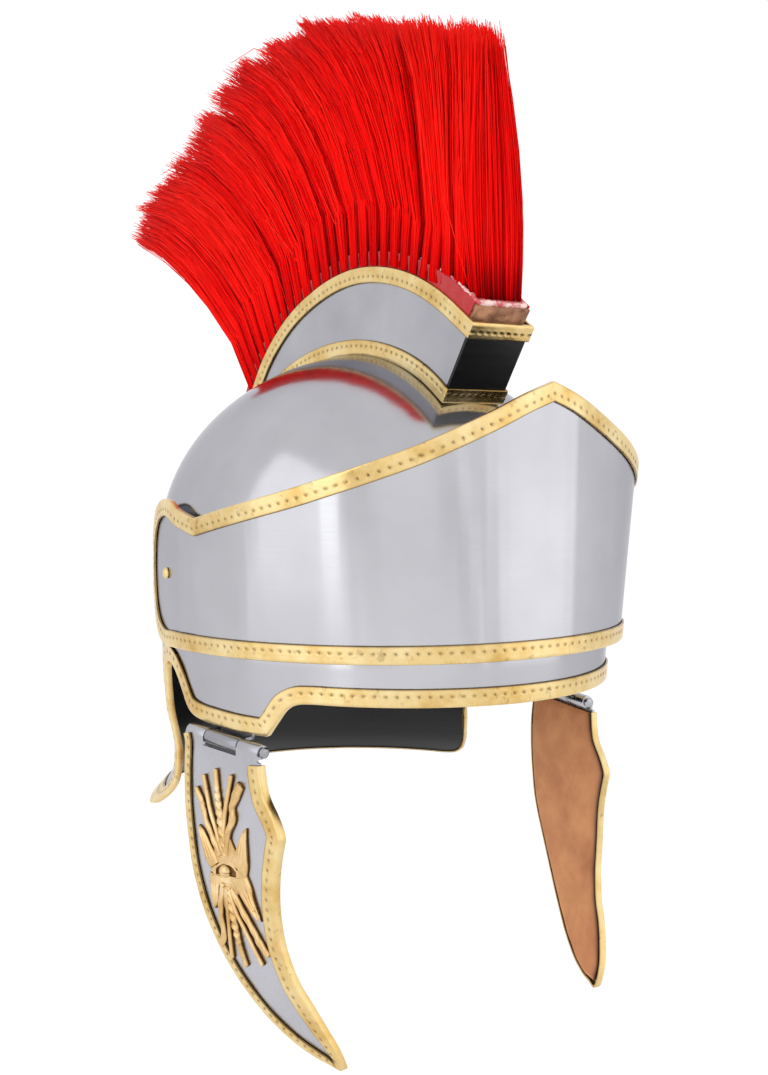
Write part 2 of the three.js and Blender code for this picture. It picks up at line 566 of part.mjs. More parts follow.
// Plume: hair locks that fan out of one root strip. Each section is one strand plane, from the root
// up the right side, over the tip and down the left side. The middle of a lock is longer and wider
// than the grooves beside it.
function makePlume() {
  const tips = new THREE.SplineCurve(strandTips.map((row) => new THREE.Vector2(row.back, row.up)));
  const count = lockCount * 2 + 1;
  const along = [0, 0.33, 0.7, 1];
  const sections = Array.from({ length: count }, (_, i) => {
    const share = i / (count - 1);
    const crown = i % 2 === 1;
    const rootShare = THREE.MathUtils.lerp(plumeRoot.front, plumeRoot.back, share);
    const root = aboveCrest(rootShare, crest.blockRise + 2 * gap + 0.9);
    const tip = tips.getPoint(share).lerp(root, crown ? 0 : 0.07 + 0.03 * Math.sin(5 * i));
    const rootWay = crestCurve.getTangent(rootShare);
    const upright = THREE.MathUtils.lerp(0.75, 0.45, Math.min(1, share * 4));
    const lift = new THREE.Vector2(-rootWay.y, rootWay.x).lerp(new THREE.Vector2(0.2, 1), upright).normalize();
    const handle = root.clone().addScaledVector(lift, 0.5 * root.distanceTo(tip));
    const strand = new THREE.QuadraticBezierCurve(root, handle, tip);
    const side = along.map((at) => {
      const point = strand.getPoint(at);
      const half = THREE.MathUtils.lerp(plumeHalf.root, plumeHalf.tip, at ** 1.4);
      const bulge = 1 + 0.35 * Math.sin(Math.PI * Math.min(1, at * 1.1));
      return { point, half: half * bulge * (crown ? 1 : 0.86) * (at === 1 ? 0.45 : 1) };
    });
    return side.map(({ point, half }) => new THREE.Vector3(-half, point.x, point.y))
      .concat(side.reverse().map(({ point, half }) => new THREE.Vector3(half, point.x, point.y)));
  });
  const cap = along.map((at) => new THREE.Vector2(-1 - at * (1 - at), at))
    .concat([...along].reverse().map((at) => new THREE.Vector2(1 + at * (1 - at), at)));
  addPiece("plume", loft(sections, { cap }), finishes.hair);
}

// Right hinge pin's own directions: along it towards the front, down from it and outwards.
function hingeFrame(sign) {
  const cosPlan = Math.cos(hinge.plan);
  const sinPlan = Math.sin(hinge.plan);
  const cosSlope = Math.cos(hinge.slope);
  const along = new THREE.Vector3(-sign * sinPlan * cosSlope, -cosPlan * cosSlope, -Math.sin(hinge.slope));
  const out = new THREE.Vector3(sign * cosPlan, -sinPlan, 0);
  const down = new THREE.Vector3().crossVectors(along, out).normalize();
  if (down.z > 0) down.negate();
  return { origin: new THREE.Vector3(sign * hinge.side, hinge.back, hinge.up), along, out, down };
}

function hingePlace(frame, along, down, out) {
  return frame.origin.clone().addScaledVector(frame.along, along)
    .addScaledVector(frame.down, down).addScaledVector(frame.out, out);
}

function hingeBar(frame, from, to, radius, sides) {
  return bar(hingePlace(frame, from, 0, 0), hingePlace(frame, to, 0, 0), radius, sides);
}

function hingeBox(frame, [fromAlong, toAlong], [fromDown, toDown], [fromOut, toOut]) {
  const corners = [[fromDown, fromOut], [toDown, fromOut], [toDown, toOut], [fromDown, toOut]];
  return loft([fromAlong, toAlong].map((at) => corners.map(([down, out]) => hingePlace(frame, at, down, out))));
}

// The pin runs below the skull's edge. The fixed leaf stands inside the skull and bends out under the
// edge to its knuckle.
function makeHinges() {
  for (const { name, sign } of rightAndLeft) {
    const frame = hingeFrame(sign);
    const pin = hingeBar(frame, knuckle.rear - 0.8, knuckle.front + 2, hinge.pin, 12);
    addPiece(`hinge_pin_${name}`, mergeVertices(asGeometry(asManifold(pin))), finishes.pin);
    const from = knuckle.rearSplit + knuckle.play;
    const to = knuckle.frontSplit - knuckle.play;
    const { outer, top, bendTop, bendFoot, bendEnd } = hingeLeaf;
    const leaf = asManifold(hingeBar(frame, from, to, hinge.barrel, 12))
      .add(asManifold(hingeBox(frame, [from, to], [top, bendFoot], [outer - sheet, outer])))
      .add(asManifold(hingeBox(frame, [from, to], [bendTop, bendFoot], [outer - sheet, bendEnd])))
      .subtract(asManifold(hingeBar(frame, from - 1, to + 1, hinge.bore, 12)));
    addPiece(`hinge_leaf_${name}`, asGeometry(leaf), finishes.pin);
  }
}

// Cheek guard surface: outer face at out = 0. It hangs from the outside of the barrel, and its lower
// part bends in towards the jaw. The bend follows the blade, which sweeps forward to its tip.
function cheekPlace(frame, along, down, out) {
  const depth = down + cheek.sweep * along * THREE.MathUtils.smoothstep(down, 30, 90);
  const inward = cheek.settle * THREE.MathUtils.smoothstep(down, 0, 25) + cheek.lean * down
    + cheek.bend * Math.max(0, depth - cheek.straight) ** 2;
  return hingePlace(frame, along, down, hinge.barrel - inward + out);
}

// rows across the guard, each from its rear to its front edge, drawn in by an inset
function cheekRows(inset, top) {
  const depths = [top, ...cheekFront.map(({ down }) => down).filter((down) => down > top + 1), 131];
  return depths.map((down) => {
    const rear = readOff([...cheekRear, cheekTip], "down", down, "along");
    const front = readOff([...cheekFront, cheekTip], "down", down, "along");
    // the edges slope towards the tip, so an inset square to them is longer along the row
    const slant = 1 + 1.6 * THREE.MathUtils.smoothstep(down, 70, 130);
    return { down, rear: rear + inset * slant, front: front - inset * (1 + 0.5 * (slant - 1)) };
  }).filter(({ rear, front }) => front - rear > 2);
}

function cheekSheet(frame, rows, outer, inner) {
  const shares = [0, 0.5, 1];
  const sections = rows.map(({ down, rear, front }) => {
    const alongs = shares.map((share) => THREE.MathUtils.lerp(rear, front, share));
    return alongs.map((along) => cheekPlace(frame, along, down, outer))
      .concat([...alongs].reverse().map((along) => cheekPlace(frame, along, down, inner)));
  });
  const cap = shares.map((share) => new THREE.Vector2(share, 1))
    .concat([...shares].reverse().map((share) => new THREE.Vector2(share, 0)));
  return loft(sections, { cap });
}

function makeCheekPlate(name, frame) {
  const rows = [{ down: 0, rear: knuckle.rear, front: knuckle.front }, ...cheekRows(0, 5)];
  const notch = hingeBox(frame, [knuckle.rearSplit, knuckle.frontSplit], [-6, 5.2], [-6, 6]);
  const plate = asManifold(cheekSheet(frame, rows, 0, -sheet))
    .add(asManifold(hingeBar(frame, knuckle.rear, knuckle.rearSplit, hinge.barrel, 12)))
    .add(asManifold(hingeBar(frame, knuckle.frontSplit, knuckle.front, hinge.barrel, 12)))
    .subtract(asManifold(notch))
    .subtract(asManifold(hingeBar(frame, knuckle.rear - 1, knuckle.front + 1, hinge.bore, 12)));
  addPiece(`cheek_plate_${name}`, asGeometry(plate), finishes.skull);
}

function makeCheekTrim(name, frame) {
  const asEdge = (usual) => ({ along, down, width = usual }) => ({ turn: along, up: -down, width });
  const rear = [...cheekRear, cheekTip].map(asEdge(cheekTrim.rear));
  const front = [...cheekFront].reverse().map(asEdge(cheekTrim.front));
  const edge = [...rear, ...front].filter(({ up }) => up < -7);
  const place = (along, up, out) => cheekPlace(frame, along, -up, out);
  const options = { loop: false, depth: sheet + 0.2 };
  addPiece(`cheek_trim_${name}`, edgeStrip(edge, place, () => 1, options), finishes.brass);
}

function makeCheekLining(name, frame) {
  const face = -sheet - gap;
  const rows = cheekRows(lining.inset, lining.top);
  addPiece(`cheek_lining_${name}`, cheekSheet(frame, rows, face, face - lining.thick), finishes.leather);
}

// one arm of the emblem: a ridge that narrows to its end, laid on the guard's outer face
function emblemArm(frame, { half, line }) {
  const sections = line.map(([along, down], i) => {
    const before = line[Math.max(0, i - 1)];
    const after = line[Math.min(line.length - 1, i + 1)];
    const way = new THREE.Vector2(after[0] - before[0], after[1] - before[1]).normalize();
    const width = half * (i === line.length - 1 ? 0.55 : 1);
    const height = relief * (i === line.length - 1 ? 0.7 : 1);
    // a wing has a flat back, and a dart or flame a sharp one
    const back = half > 3 ? [-0.5, 0.5] : [0];
    const profile = [[-width, gap], ...back.map((share) => [width * share, gap + height]), [width, gap]];
    return profile.map(([sideways, out]) => (
      cheekPlace(frame, along - way.y * sideways, down + way.x * sideways, out)
    ));
  });
  const size = sections[0].length;
  return loft(sections, { cap: sections[0].map((_, k) => circlePoint(k / size)) });
}

function makeCheekEmblem(name, frame) {
  const rim = Array.from({ length: 8 }, (_, i) => circlePoint(i / 8));
  const knob = loft([[6.4, gap], [5.6, gap + relief], [2.6, gap + relief * 1.7]].map(([radius, out]) => (
    rim.map((p) => cheekPlace(frame, boltCentre.along + p.x * radius, boltCentre.down + p.y * radius, out))
  )));
  const emblem = boltPieces.reduce((sum, piece) => sum.add(asManifold(emblemArm(frame, piece))), asManifold(knob));
  addPiece(`cheek_emblem_${name}`, asGeometry(emblem), finishes.brass);
}

makeSkull();
makeRimTrim();
makeBrowBand();
makeBandTrim();
makeRivets();
makeCrestBox();
makeCrestBlock();
makePlumeTape();
makeCrestTrims();
makePlume();
makeHinges();
for (const { name, sign } of rightAndLeft) {
  const frame = hingeFrame(sign);
  makeCheekPlate(name, frame);
  makeCheekTrim(name, frame);
  makeCheekLining(name, frame);
  makeCheekEmblem(name, frame);
}

helmet.position.z = -(domeFoot + domeRise - sheet);
export default helmet;
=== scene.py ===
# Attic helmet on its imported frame: brushed steel, punched brass edges, leather and a red horsehair plume.
# The helmet's tables give millimetres. "up" counts from the line of the front rim, as the helmet was drawn.
import bpy
import bmesh
import numpy as np
from mathutils import Matrix, Vector


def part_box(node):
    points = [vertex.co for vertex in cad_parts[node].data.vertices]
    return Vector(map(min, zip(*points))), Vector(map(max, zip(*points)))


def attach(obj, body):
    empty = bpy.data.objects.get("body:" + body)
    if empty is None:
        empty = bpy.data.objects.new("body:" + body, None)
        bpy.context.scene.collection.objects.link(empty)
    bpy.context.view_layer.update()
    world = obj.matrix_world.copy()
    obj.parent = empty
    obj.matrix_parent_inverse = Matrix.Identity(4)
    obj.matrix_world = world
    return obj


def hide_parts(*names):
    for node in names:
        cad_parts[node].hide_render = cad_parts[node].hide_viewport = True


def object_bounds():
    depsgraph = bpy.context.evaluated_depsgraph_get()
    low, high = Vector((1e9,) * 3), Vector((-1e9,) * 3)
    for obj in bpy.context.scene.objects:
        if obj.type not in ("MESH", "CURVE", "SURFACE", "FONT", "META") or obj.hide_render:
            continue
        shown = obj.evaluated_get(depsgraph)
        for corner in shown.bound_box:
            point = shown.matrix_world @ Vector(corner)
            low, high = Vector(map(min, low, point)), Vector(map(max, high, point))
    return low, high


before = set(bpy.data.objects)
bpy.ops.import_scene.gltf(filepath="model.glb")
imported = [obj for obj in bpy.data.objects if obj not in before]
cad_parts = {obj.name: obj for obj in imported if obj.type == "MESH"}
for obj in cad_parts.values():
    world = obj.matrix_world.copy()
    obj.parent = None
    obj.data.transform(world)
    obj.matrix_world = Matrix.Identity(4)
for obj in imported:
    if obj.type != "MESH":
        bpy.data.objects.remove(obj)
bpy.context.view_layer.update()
mm = 0.001

skull = {
    "halfLength": 120.4, "halfWidth": 103.0, "domeFoot": 57.0, "domeRise": 94.6, "browSlope": 0.13,
    "browFrom": 30.0, "browTo": 110.0, "sheet": 1.2, "neckDepth": 69.0, "templeRow": 4,
    "frontColumns": 46, "sideColumns": [(-67.5, 42.6, 64), (42.8, 45.2, 14), (45.6, 61, 14)],
    "rearColumns": 42, "wallRows": 28, "upperRows": 10, "domeRows": 28,
}
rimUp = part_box("skull")[1].z / mm - skull["domeFoot"] - skull["domeRise"]  # the rim line in the row frame


# Tables read along smooth curves

# value of a smooth curve through a table: cubic pieces whose slopes at the rows are the mean slopes there
def throughTable(at, xs, ys):
    xs, ys, at = np.asarray(xs, float), np.asarray(ys, float), np.clip(at, xs[0], xs[-1])
    slopes = np.gradient(ys, xs)
    i = np.clip(np.searchsorted(xs, at) - 1, 0, len(xs) - 2)
    h = xs[i + 1] - xs[i]
    t = (at - xs[i]) / h
    return ((1 + 2 * t) * (1 - t) ** 2 * ys[i] + t * (1 - t) ** 2 * h * slopes[i]
            + t * t * (3 - 2 * t) * ys[i + 1] + t * t * (t - 1) * h * slopes[i + 1])


# points at even shares of a curve through rows: each stretch is a cubic whose end slopes are half the chord
# between the neighbours, and a corner row takes the chord of its own side, so the line breaks there
def throughRows(rows, share, closed=False, corners=()):
    rows = np.asarray(rows, float)
    count = len(rows)
    before, after = np.roll(rows, 1, 0), np.roll(rows, -1, 0)
    if not closed:
        before[0], after[-1] = rows[0], rows[-1]
    arriving = (after - before) / 2
    leaving = arriving.copy()
    corners = list(corners)
    arriving[corners], leaving[corners] = (rows - before)[corners], (after - rows)[corners]
    place = np.asarray(share, float) * (count if closed else count - 1)
    i = np.clip(np.floor(place).astype(int), 0, count - 1 if closed else count - 2)
    t = (place - i)[..., None]
    nextRow = (i + 1) % count
    b, c, fromSlope, toSlope = rows[i], rows[nextRow], leaving[i], arriving[nextRow]
    return ((2 * b - 2 * c + fromSlope + toSlope) * t**3 + (3 * c - 3 * b - 2 * fromSlope - toSlope) * t**2
            + fromSlope * t + b)


# 0 up to low, 1 from high on, and 3 t^2 - 2 t^3 of the share t between them
def smoothStep(x, low, high):
    t = np.clip((np.asarray(x, float) - low) / (high - low), 0, 1)
    return t * t * (3 - 2 * t)


# numbers and arrays, all stretched to one common shape
def sameShape(*values):
    return np.broadcast_arrays(*[np.asarray(value, float) for value in values])


# each vector divided by its length
def unit(v):
    return v / np.maximum(np.linalg.norm(v, axis=-1, keepdims=True), 1e-9)


# Meshes from arrays

# a four cornered face whose last corner is named twice is a triangle
def meshObject(name, points, faces, materials, smooth=True, sharp=None, values=None):
    mesh = bpy.data.meshes.new(name)
    points, faces = np.asarray(points, float).reshape(-1, 3) * mm, np.asarray(faces, np.int32)
    kept = np.ones(faces.shape, bool)
    kept[:, -1] = faces[:, -1] != faces[:, -2]
    corners, sizes = faces[kept], kept.sum(1)
    mesh.vertices.add(len(points))
    mesh.vertices.foreach_set("co", points.ravel())
    mesh.loops.add(len(corners))
    mesh.loops.foreach_set("vertex_index", corners)
    mesh.polygons.add(len(faces))
    mesh.polygons.foreach_set("loop_start", (np.cumsum(sizes) - sizes).astype(np.int32))
    mesh.update(calc_edges=True)
    mesh.validate()
    for key, value in (values or {}).items():
        layer = mesh.attributes.new(key, "FLOAT", "POINT")
        layer.data.foreach_set("value", np.asarray(value, np.float32).ravel())
    mesh.polygons.foreach_set("use_smooth", np.full(len(mesh.polygons), smooth))
    if sharp:
        mesh.set_sharp_from_angle(angle=sharp)
    for material in materials:
        mesh.materials.append(material)
    made = bpy.data.objects.new(name, mesh)
    bpy.context.scene.collection.objects.link(made)
    return made


# faces of a grid of rows by columns, with either way closed on itself
def gridFaces(rows, columns, closeRows=False, closeColumns=False):
    r = np.arange(rows if closeRows else rows - 1)[:, None]
    c = np.arange(columns if closeColumns else columns - 1)[None, :]
    nextR, nextC = (r + 1) % rows, (c + 1) % columns
    corners = [r * columns + c, r * columns + nextC, nextR * columns + nextC, nextR * columns + c]
    return np.stack([np.broadcast_to(k, (len(r), c.shape[1])) for k in corners], -1).reshape(-1, 4)


# several shells in one list of points and faces
def joinShells(shells):
    points, faces, base = [], [], 0
    for p, f in shells:
        p = np.asarray(p, float).reshape(-1, 3)
        points.append(p)
        faces.append(f + base)
        base += len(p)
    return np.concatenate(points), np.concatenate(faces)


# Turns closed shells outwards and marks the edges sharper than an angle. With merge it first joins doubled
# points and drops faces that have shrunk to nothing.
def tidyMesh(made, sharp=None, merge=True):
    near = 0.01 * mm
    bm = bmesh.new()
    bm.from_mesh(made.data)
    if merge:
        bmesh.ops.remove_doubles(bm, verts=bm.verts, dist=near)
        bmesh.ops.dissolve_degenerate(bm, dist=near / 2, edges=bm.edges)
    bmesh.ops.recalc_face_normals(bm, faces=bm.faces)
    bm.to_mesh(made.data)
    bm.free()
    if sharp:
        made.data.set_sharp_from_angle(angle=sharp)
    return made


# a piece rides on its body and stands in for the CAD nodes that are named, which it hides
def settle(made, body, nodes):
    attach(made, body)
    if nodes:
        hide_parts(*nodes)
    return made


# closed shell between an outer and an inner grid of the same size
def sheetShell(outer, inner):
    rows, columns = outer.shape[:2]
    size = rows * columns
    face = gridFaces(rows, columns)
    k = np.arange(rows * columns).reshape(rows, columns)
    rim = np.concatenate([k[0, :-1], k[:-1, -1], k[-1, :0:-1], k[:0:-1, 0]])
    nextRim = np.roll(rim, -1)
    wall = np.stack([rim, nextRim, nextRim + size, rim + size], 1)
    return np.concatenate([outer.reshape(-1, 3), inner.reshape(-1, 3)]), np.concatenate(
        [face, face[:, ::-1] + size, wall[:, ::-1]])


# a closed tube of one closed outline per station, with flat ends fanned from their middle
def closedTube(outlines):
    outlines = np.asarray(outlines, float)
    stations, count = outlines.shape[:2]
    faces = gridFaces(stations, count, closeColumns=True)
    points = np.concatenate([outlines.reshape(-1, 3), outlines[0].mean(0)[None], outlines[-1].mean(0)[None]])
    k = np.arange(count)
    first, last = stations * count, stations * count + 1
    start = np.stack([np.full(count, first), (k + 1) % count, k, k], 1)
    end = np.stack([np.full(count, last), first - count + k, first - count + (k + 1) % count,
                    first - count + (k + 1) % count], 1)
    return points, np.concatenate([faces, start, end])


# Faces of a tube whose outline goes out along one half of its points and back along the other: a grid closed
# round the outline, and at either end a row of faces from half to half.
def foldedFaces(stations, count):
    k = np.arange(count // 2 - 1)
    cap = np.stack([k, k + 1, count - 2 - k, count - 1 - k], 1)
    sides = gridFaces(stations, count, closeColumns=True)
    return np.concatenate([sides, cap[:, ::-1], cap + (stations - 1) * count])


# rings round the points of a line: point + radius (cos a sideways + sin a upright) at even angles a
def ringsRound(line, radius, sideways, upright, count):
    angles = np.linspace(0, 2 * np.pi, count, endpoint=False)[:, None]
    sideways, upright = [np.broadcast_to(way, line.shape)[:, None] for way in (sideways, upright)]
    return line[:, None] + radius[:, None, None] * (np.cos(angles) * sideways + np.sin(angles) * upright)


# Materials

# sRGB hex to the linear colour that shaders use
def linear(code):
    parts = [int(code[i:i + 2], 16) / 255 for i in (1, 3, 5)]
    return [p / 12.92 if p <= 0.04045 else ((p + 0.055) / 1.055) ** 2.4 for p in parts] + [1.0]


# scale of a pattern whose grain is size millimetres across: how many of them fill a metre
def every(size):
    return 1 / (size * mm)


# One node: settings are its own properties, inputs its fixed values, links the sockets that feed it, and
# stops the places and colours of a ramp.
def add(tree, kind, inputs=None, links=None, stops=(), **settings):
    made = tree.nodes.new(kind)
    for key, value in settings.items():
        setattr(made, key, value)
    for _ in stops[2:]:
        made.color_ramp.elements.new(0.5)
    for i, (place, code) in enumerate(stops):
        made.color_ramp.elements[i].position = place
        made.color_ramp.elements[i].color = linear(code)
    for key, value in (inputs or {}).items():
        made.inputs[key].default_value = value
    for key, source in (links or {}).items():
        tree.links.new(source, made.inputs[key])
    return made


# a material with an empty node tree
def newMaterial(name):
    made = bpy.data.materials.new(name)
    made.use_nodes = True
    made.node_tree.nodes.clear()
    return made, made.node_tree


# gap and run of the scratches, size of the clouds, width and run of the sheet's waves, all in mm
steelGrain = {"gap": 0.5, "run": 71.4, "clouds": 71.4, "waveWide": 17.24, "waveRun": 833.0}


# Steel plate, ground and then polished. Faint scratches stay, 0.5 mm apart, level or else upright. The sheet
# is not quite true: waves 17 mm wide that run upright break each lamp's reflection into upright streaks.
def polishedSteel(name, code, darkCode, roughness, waves=0.0, level=True):
    made, tree = newMaterial(name)
    place = add(tree, "ShaderNodeTexCoord").outputs["Object"]
    fine, long, wide = every(steelGrain["gap"]), every(steelGrain["run"]), every(steelGrain["waveWide"])
    stretch = (long, long, fine) if level else (long, fine, long)
    brushed = add(tree, "ShaderNodeMapping", {"Scale": stretch}, {"Vector": place})
    scratches = add(tree, "ShaderNodeTexNoise", {"Scale": 1.0, "Detail": 3.0, "Roughness": 0.6},
                    {"Vector": brushed.outputs[0]})
    clouds = add(tree, "ShaderNodeTexNoise",
                 {"Scale": every(steelGrain["clouds"]), "Detail": 4.0, "Roughness": 0.55}, {"Vector": place})
    colour = add(tree, "ShaderNodeValToRGB", links={"Fac": clouds.outputs[0]},
                 stops=[(0.35, darkCode), (0.65, code)])
    rough = add(tree, "ShaderNodeMapRange",
                {"From Min": 0.3, "From Max": 0.7, "To Min": roughness - 0.02, "To Max": roughness + 0.04},
                {"Value": scratches.outputs[0]})
    upright = add(tree, "ShaderNodeMapping", {"Scale": (wide, wide, every(steelGrain["waveRun"]))},
                  {"Vector": place})
    swell = add(tree, "ShaderNodeTexNoise", {"Scale": 1.0, "Detail": 2.0}, {"Vector": upright.outputs[0]})
    sheetBump = add(tree, "ShaderNodeBump", {"Strength": waves, "Distance": 1.0 * mm},
                    {"Height": swell.outputs[0]})
    bump = add(tree, "ShaderNodeBump", {"Strength": 0.012, "Distance": 0.4 * mm},
               {"Height": scratches.outputs[0], "Normal": sheetBump.outputs[0]})
    shader = add(tree, "ShaderNodeBsdfPrincipled", {"Metallic": 1.0, "Specular Tint": linear("#D8D8DC")},
                 {"Base Color": colour.outputs[0], "Roughness": rough.outputs[0], "Normal": bump.outputs[0]})
    add(tree, "ShaderNodeOutputMaterial", links={"Surface": shader.outputs[0]})
    return made


# Brass strip, rolled, punched and wiped bright: pale gold faces in clouds 18 mm across, brown tarnish in the
# punch marks and in a few 5 mm spots, darker borders, and painted shade in the fold, underneath and at the
# feet of reliefs.
def wornBrass(name, dark="#CDA862", plain="#DFC388", light="#EAD6A4", roughness=0.22):
    made, tree = newMaterial(name)
    cloudSize, spotSize = 18.18, 5.263
    place = add(tree, "ShaderNodeTexCoord").outputs["Object"]
    clouds = add(tree, "ShaderNodeTexNoise", {"Scale": every(cloudSize), "Detail": 5.0, "Roughness": 0.6},
                 {"Vector": place})
    spots = add(tree, "ShaderNodeTexNoise", {"Scale": every(spotSize), "Detail": 3.0, "Roughness": 0.7},
                {"Vector": place})
    colour = add(tree, "ShaderNodeValToRGB", links={"Fac": clouds.outputs[0]},
                 stops=[(0.32, dark), (0.5, plain), (0.7, light)])
    tarnish = add(tree, "ShaderNodeValToRGB", links={"Fac": spots.outputs[0]},
                  stops=[(0.6, "#000000"), (0.74, "#FFFFFF")])
    # per point darkening: tarnish in the punch marks, darker borders, and painted shade in folds, underneath
    # and at relief feet
    tarnishAndShade = add(tree, "ShaderNodeAttribute", attribute_name="tarnishAndShade")
    stainAndShade = add(tree, "ShaderNodeMath", {1: 0.45}, {0: tarnish.outputs[0], 2: tarnishAndShade.outputs["Fac"]},
                operation="MULTIPLY_ADD", use_clamp=True)
    stainedAndShaded = add(tree, "ShaderNodeMix", {7: linear("#5A3A14")},
               {"Factor": stainAndShade.outputs[0], 6: colour.outputs[0]}, data_type="RGBA")
    rough = add(tree, "ShaderNodeMapRange",
                {"From Min": 0.35, "From Max": 0.7, "To Min": roughness, "To Max": roughness + 0.16},
                {"Value": clouds.outputs[0]})
    bump = add(tree, "ShaderNodeBump", {"Strength": 0.12, "Distance": 0.5 * mm},
               {"Height": clouds.outputs[0]})
    shader = add(tree, "ShaderNodeBsdfPrincipled", {"Metallic": 1.0},
                 {"Base Color": stainedAndShaded.outputs[2], "Roughness": rough.outputs[0], "Normal": bump.outputs[0]})
    add(tree, "ShaderNodeOutputMaterial", links={"Surface": shader.outputs[0]})
    return made


# Vegetable tanned leather: warm tan with darker clouds, dark dyed edges and a fine 0.7 mm pebble.
def tannedLeather(name, light="#DC965F", dark="#B9703E", edge="#43180C", cloudSize=26.32):
    made, tree = newMaterial(name)
    pebbleSize = 0.714
    place = add(tree, "ShaderNodeTexCoord").outputs["Object"]
    clouds = add(tree, "ShaderNodeTexNoise", {"Scale": every(cloudSize), "Detail": 6.0, "Roughness": 0.62},
                 {"Vector": place})
    pebble = add(tree, "ShaderNodeTexVoronoi", {"Scale": every(pebbleSize)}, {"Vector": place})
    colour = add(tree, "ShaderNodeValToRGB", links={"Fac": clouds.outputs[0]},
                 stops=[(0.3, dark), (0.62, light)])
    rim = add(tree, "ShaderNodeAttribute", attribute_name="edge")
    shade = add(tree, "ShaderNodeMix", {7: linear(edge)},
                {"Factor": rim.outputs["Fac"], 6: colour.outputs[0]}, data_type="RGBA")
    bump = add(tree, "ShaderNodeBump", {"Strength": 0.25, "Distance": 0.3 * mm},
               {"Height": pebble.outputs[0]})
    shader = add(tree, "ShaderNodeBsdfPrincipled", {"Roughness": 0.58},
                 {"Base Color": shade.outputs[2], "Normal": bump.outputs[0]})
    add(tree, "ShaderNodeOutputMaterial", links={"Surface": shader.outputs[0]})
    return made


# Satin black paint, brushed on: soft level streaks in the gloss, 45 mm long and 2.4 mm wide.
def satinBlack(name):
    made, tree = newMaterial(name)
    long, wide = every(45.45), every(2.381)
    place = add(tree, "ShaderNodeTexCoord").outputs["Object"]
    brushed = add(tree, "ShaderNodeMapping", {"Scale": (long, long, wide)}, {"Vector": place})
    streaks = add(tree, "ShaderNodeTexNoise", {"Scale": 1.0, "Detail": 3.0}, {"Vector": brushed.outputs[0]})
    colour = add(tree, "ShaderNodeValToRGB", links={"Fac": streaks.outputs[0]},
                 stops=[(0.3, "#08080A"), (0.75, "#141416")])
    rough = add(tree, "ShaderNodeMapRange", {"To Min": 0.3, "To Max": 0.5}, {"Value": streaks.outputs[0]})
    shader = add(tree, "ShaderNodeBsdfPrincipled", {"Specular IOR Level": 0.35},
                 {"Base Color": colour.outputs[0], "Roughness": rough.outputs[0]})
    add(tree, "ShaderNodeOutputMaterial", links={"Surface": shader.outputs[0]})
    return made


# Dyed horsehair: each hair has its own red, lighter towards the cut ends, and painted shade darkens it at the
# roots and between tufts.
def dyedHair(name):
    made, tree = newMaterial(name)
    hue = add(tree, "ShaderNodeAttribute", attribute_name="shade")
    colour = add(tree, "ShaderNodeValToRGB", links={"Fac": hue.outputs["Fac"]},
                 stops=[(0.0, "#7C0002"), (0.25, "#D60003"), (0.5, "#FF0805"), (1.0, "#FF2C1C")])
    shader = add(tree, "ShaderNodeBsdfPrincipled", {"Roughness": 0.6, "Specular IOR Level": 0.06},
                 {"Base Color": colour.outputs[0]})
    add(tree, "ShaderNodeOutputMaterial", links={"Surface": shader.outputs[0]})
    return made


# Cotton tape, woven at 0.8 mm, dyed dark red. Threads run both ways, and a wave texture repeats once in a
# tenth of pi of its own unit.
def wovenTape(name):
    made, tree = newMaterial(name)
    threads = every(0.806) * np.pi / 10
    place = add(tree, "ShaderNodeTexCoord").outputs["Object"]
    weft, warp = [add(tree, "ShaderNodeTexWave", {"Scale": threads, "Distortion": 1.5}, {"Vector": place},
                      bands_direction=way) for way in "YZ"]
    weave = add(tree, "ShaderNodeMath", links={0: weft.outputs["Fac"], 1: warp.outputs["Fac"]},
                operation="MAXIMUM")
    colour = add(tree, "ShaderNodeValToRGB", links={"Fac": weave.outputs[0]},
                 stops=[(0.2, "#7E0A10"), (0.9, "#C4161F")])
    bump = add(tree, "ShaderNodeBump", {"Strength": 0.5, "Distance": 0.3 * mm},
               {"Height": weave.outputs[0]})
    shader = add(tree, "ShaderNodeBsdfPrincipled", {"Roughness": 0.85, "Sheen Weight": 0.3},
                 {"Base Color": colour.outputs[0], "Normal": bump.outputs[0]})
    add(tree, "ShaderNodeOutputMaterial", links={"Surface": shader.outputs[0]})
    return made


# Dried contact glue, whitish and half clear, stained by the dye in clouds 4 mm across.
def driedGlue(name):
    made, tree = newMaterial(name)
    place = add(tree, "ShaderNodeTexCoord").outputs["Object"]
    clouds = add(tree, "ShaderNodeTexNoise", {"Scale": every(3.846), "Detail": 4.0}, {"Vector": place})
    colour = add(tree, "ShaderNodeValToRGB", links={"Fac": clouds.outputs[0]},
                 stops=[(0.4, "#C4545A"), (0.58, "#EBCFC8")])
    shader = add(tree, "ShaderNodeBsdfPrincipled", {"Roughness": 0.45}, {"Base Color": colour.outputs[0]})
    add(tree, "ShaderNodeOutputMaterial", links={"Surface": shader.outputs[0]})
    return made


